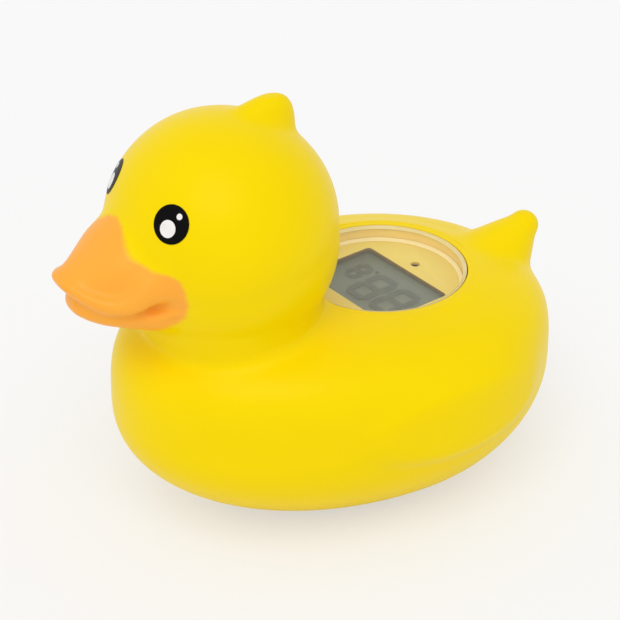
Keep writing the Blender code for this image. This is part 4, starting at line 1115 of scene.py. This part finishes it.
for piece, finish, slot, node in displayPieces:
    dress(piece, displayFinishes[finish])
    if piece is maskPiece:
        # the cut edge of the window is painted dark brown: painted shade along the window's edge
        piece.data.materials.append(windowEdgeShade)
        for f in piece.data.polygons:
            besideX = abs(f.center.x / mm - w["x"]) < w["halfX"] + 0.4
            besideY = abs(f.center.y / mm - w["y"]) < w["halfY"] + 0.4
            f.material_index = 1 if abs(f.normal.z) < 0.5 and besideX and besideY else 0
    if piece is filmPiece:
        # the panel's ground sides let nothing through
        piece.data.materials.append(filmSide)
        for f in piece.data.polygons:
            f.material_index = 1 if abs(f.normal.z) < 0.5 else 0
    seatDisplay(piece)
    setParent(piece, slot, *([node] if node else []))
for piece in (lensPiece, barPiece):
    pick(piece)
    bpy.ops.object.shade_smooth_by_angle(angle=display["smoothAngle"])
print("display fitted")


# finishes of the CAD nodes that stay
whitePlastic = plasticFinish("housingWhite", (0.8, 0.79, 0.75), 0.5, 0.08, 1800.0, 0.06, 0.03)
baseYellow = plasticFinish("baseYellow", (0.9, 0.66, 0.01), 0.42, 0.06, 2200.0, 0.05, 0.02)
steelFinish = plasticFinish("brightSteel", (0.62, 0.61, 0.59), 0.24, 0.14, 900.0, 0.05, 0.05, metallic=1.0)
nickelFinish = plasticFinish("nickelPlate", (0.7, 0.67, 0.6), 0.3, 0.12, 900.0, 0.05, 0.06, metallic=1.0)
rubberFinish = plasticFinish("sealRubber", (0.16, 0.16, 0.17), 0.78, 0.1, 1500.0, 0.15, 0.08)
boardFinish = plasticFinish("boardGreen", (0.03, 0.2, 0.07), 0.42, 0.08, 700.0, 0.06, 0.12)
epoxyFinish = plasticFinish("epoxyBlack", (0.02, 0.02, 0.02), 0.3, 0.12, 700.0, 0.1, 0.2)
stripFinish = plasticFinish("stripRubber", (0.75, 0.45, 0.42), 0.7, 0.1, 1500.0, 0.1, 0.08)
ledFinish = plasticFinish("ledRed", (0.7, 0.03, 0.02), 0.15, 0.05, 600.0, 0.02, 0.05)
wireFinishes = {"red": plasticFinish("wireRed", (0.6, 0.02, 0.02), 0.45, 0.08, 1200.0, 0.06, 0.08),
                "black": plasticFinish("wireBlack", (0.02, 0.02, 0.02), 0.45, 0.08, 1200.0, 0.06, 0.2),
                "white": plasticFinish("wireWhite", (0.8, 0.8, 0.78), 0.45, 0.08, 1200.0, 0.06, 0.04)}
byStart = [("lcd_frame", whitePlastic), ("zebra_strip", stripFinish), ("circuit_board", boardFinish),
           ("board_screw", steelFinish), ("warning_led", ledFinish), ("chip_blob", epoxyFinish),
           ("quartz_crystal", steelFinish), ("display_housing", whitePlastic), ("base_plate", baseYellow),
           ("base_seal", rubberFinish), ("battery_door_seal", rubberFinish), ("battery_door_screw", steelFinish),
           ("battery_door", baseYellow), ("battery_link", nickelFinish), ("button_cell", steelFinish),
           ("battery_leaf", nickelFinish), ("probe_cap", steelFinish), ("temperature_sensor", epoxyFinish),
           ("water_contact", steelFinish), ("battery_wire_red", wireFinishes["red"]),
           ("battery_wire_black", wireFinishes["black"]), ("sensor_wire", wireFinishes["white"]),
           ("contact_wire", wireFinishes["white"])]
for name, obj in nodes.items():
    mat = next((choice for start, choice in byStart if name.startswith(start)), None)
    if mat:
        dress(obj, mat)
print("finishes given")

startFresh()
bpy.context.view_layer.update()
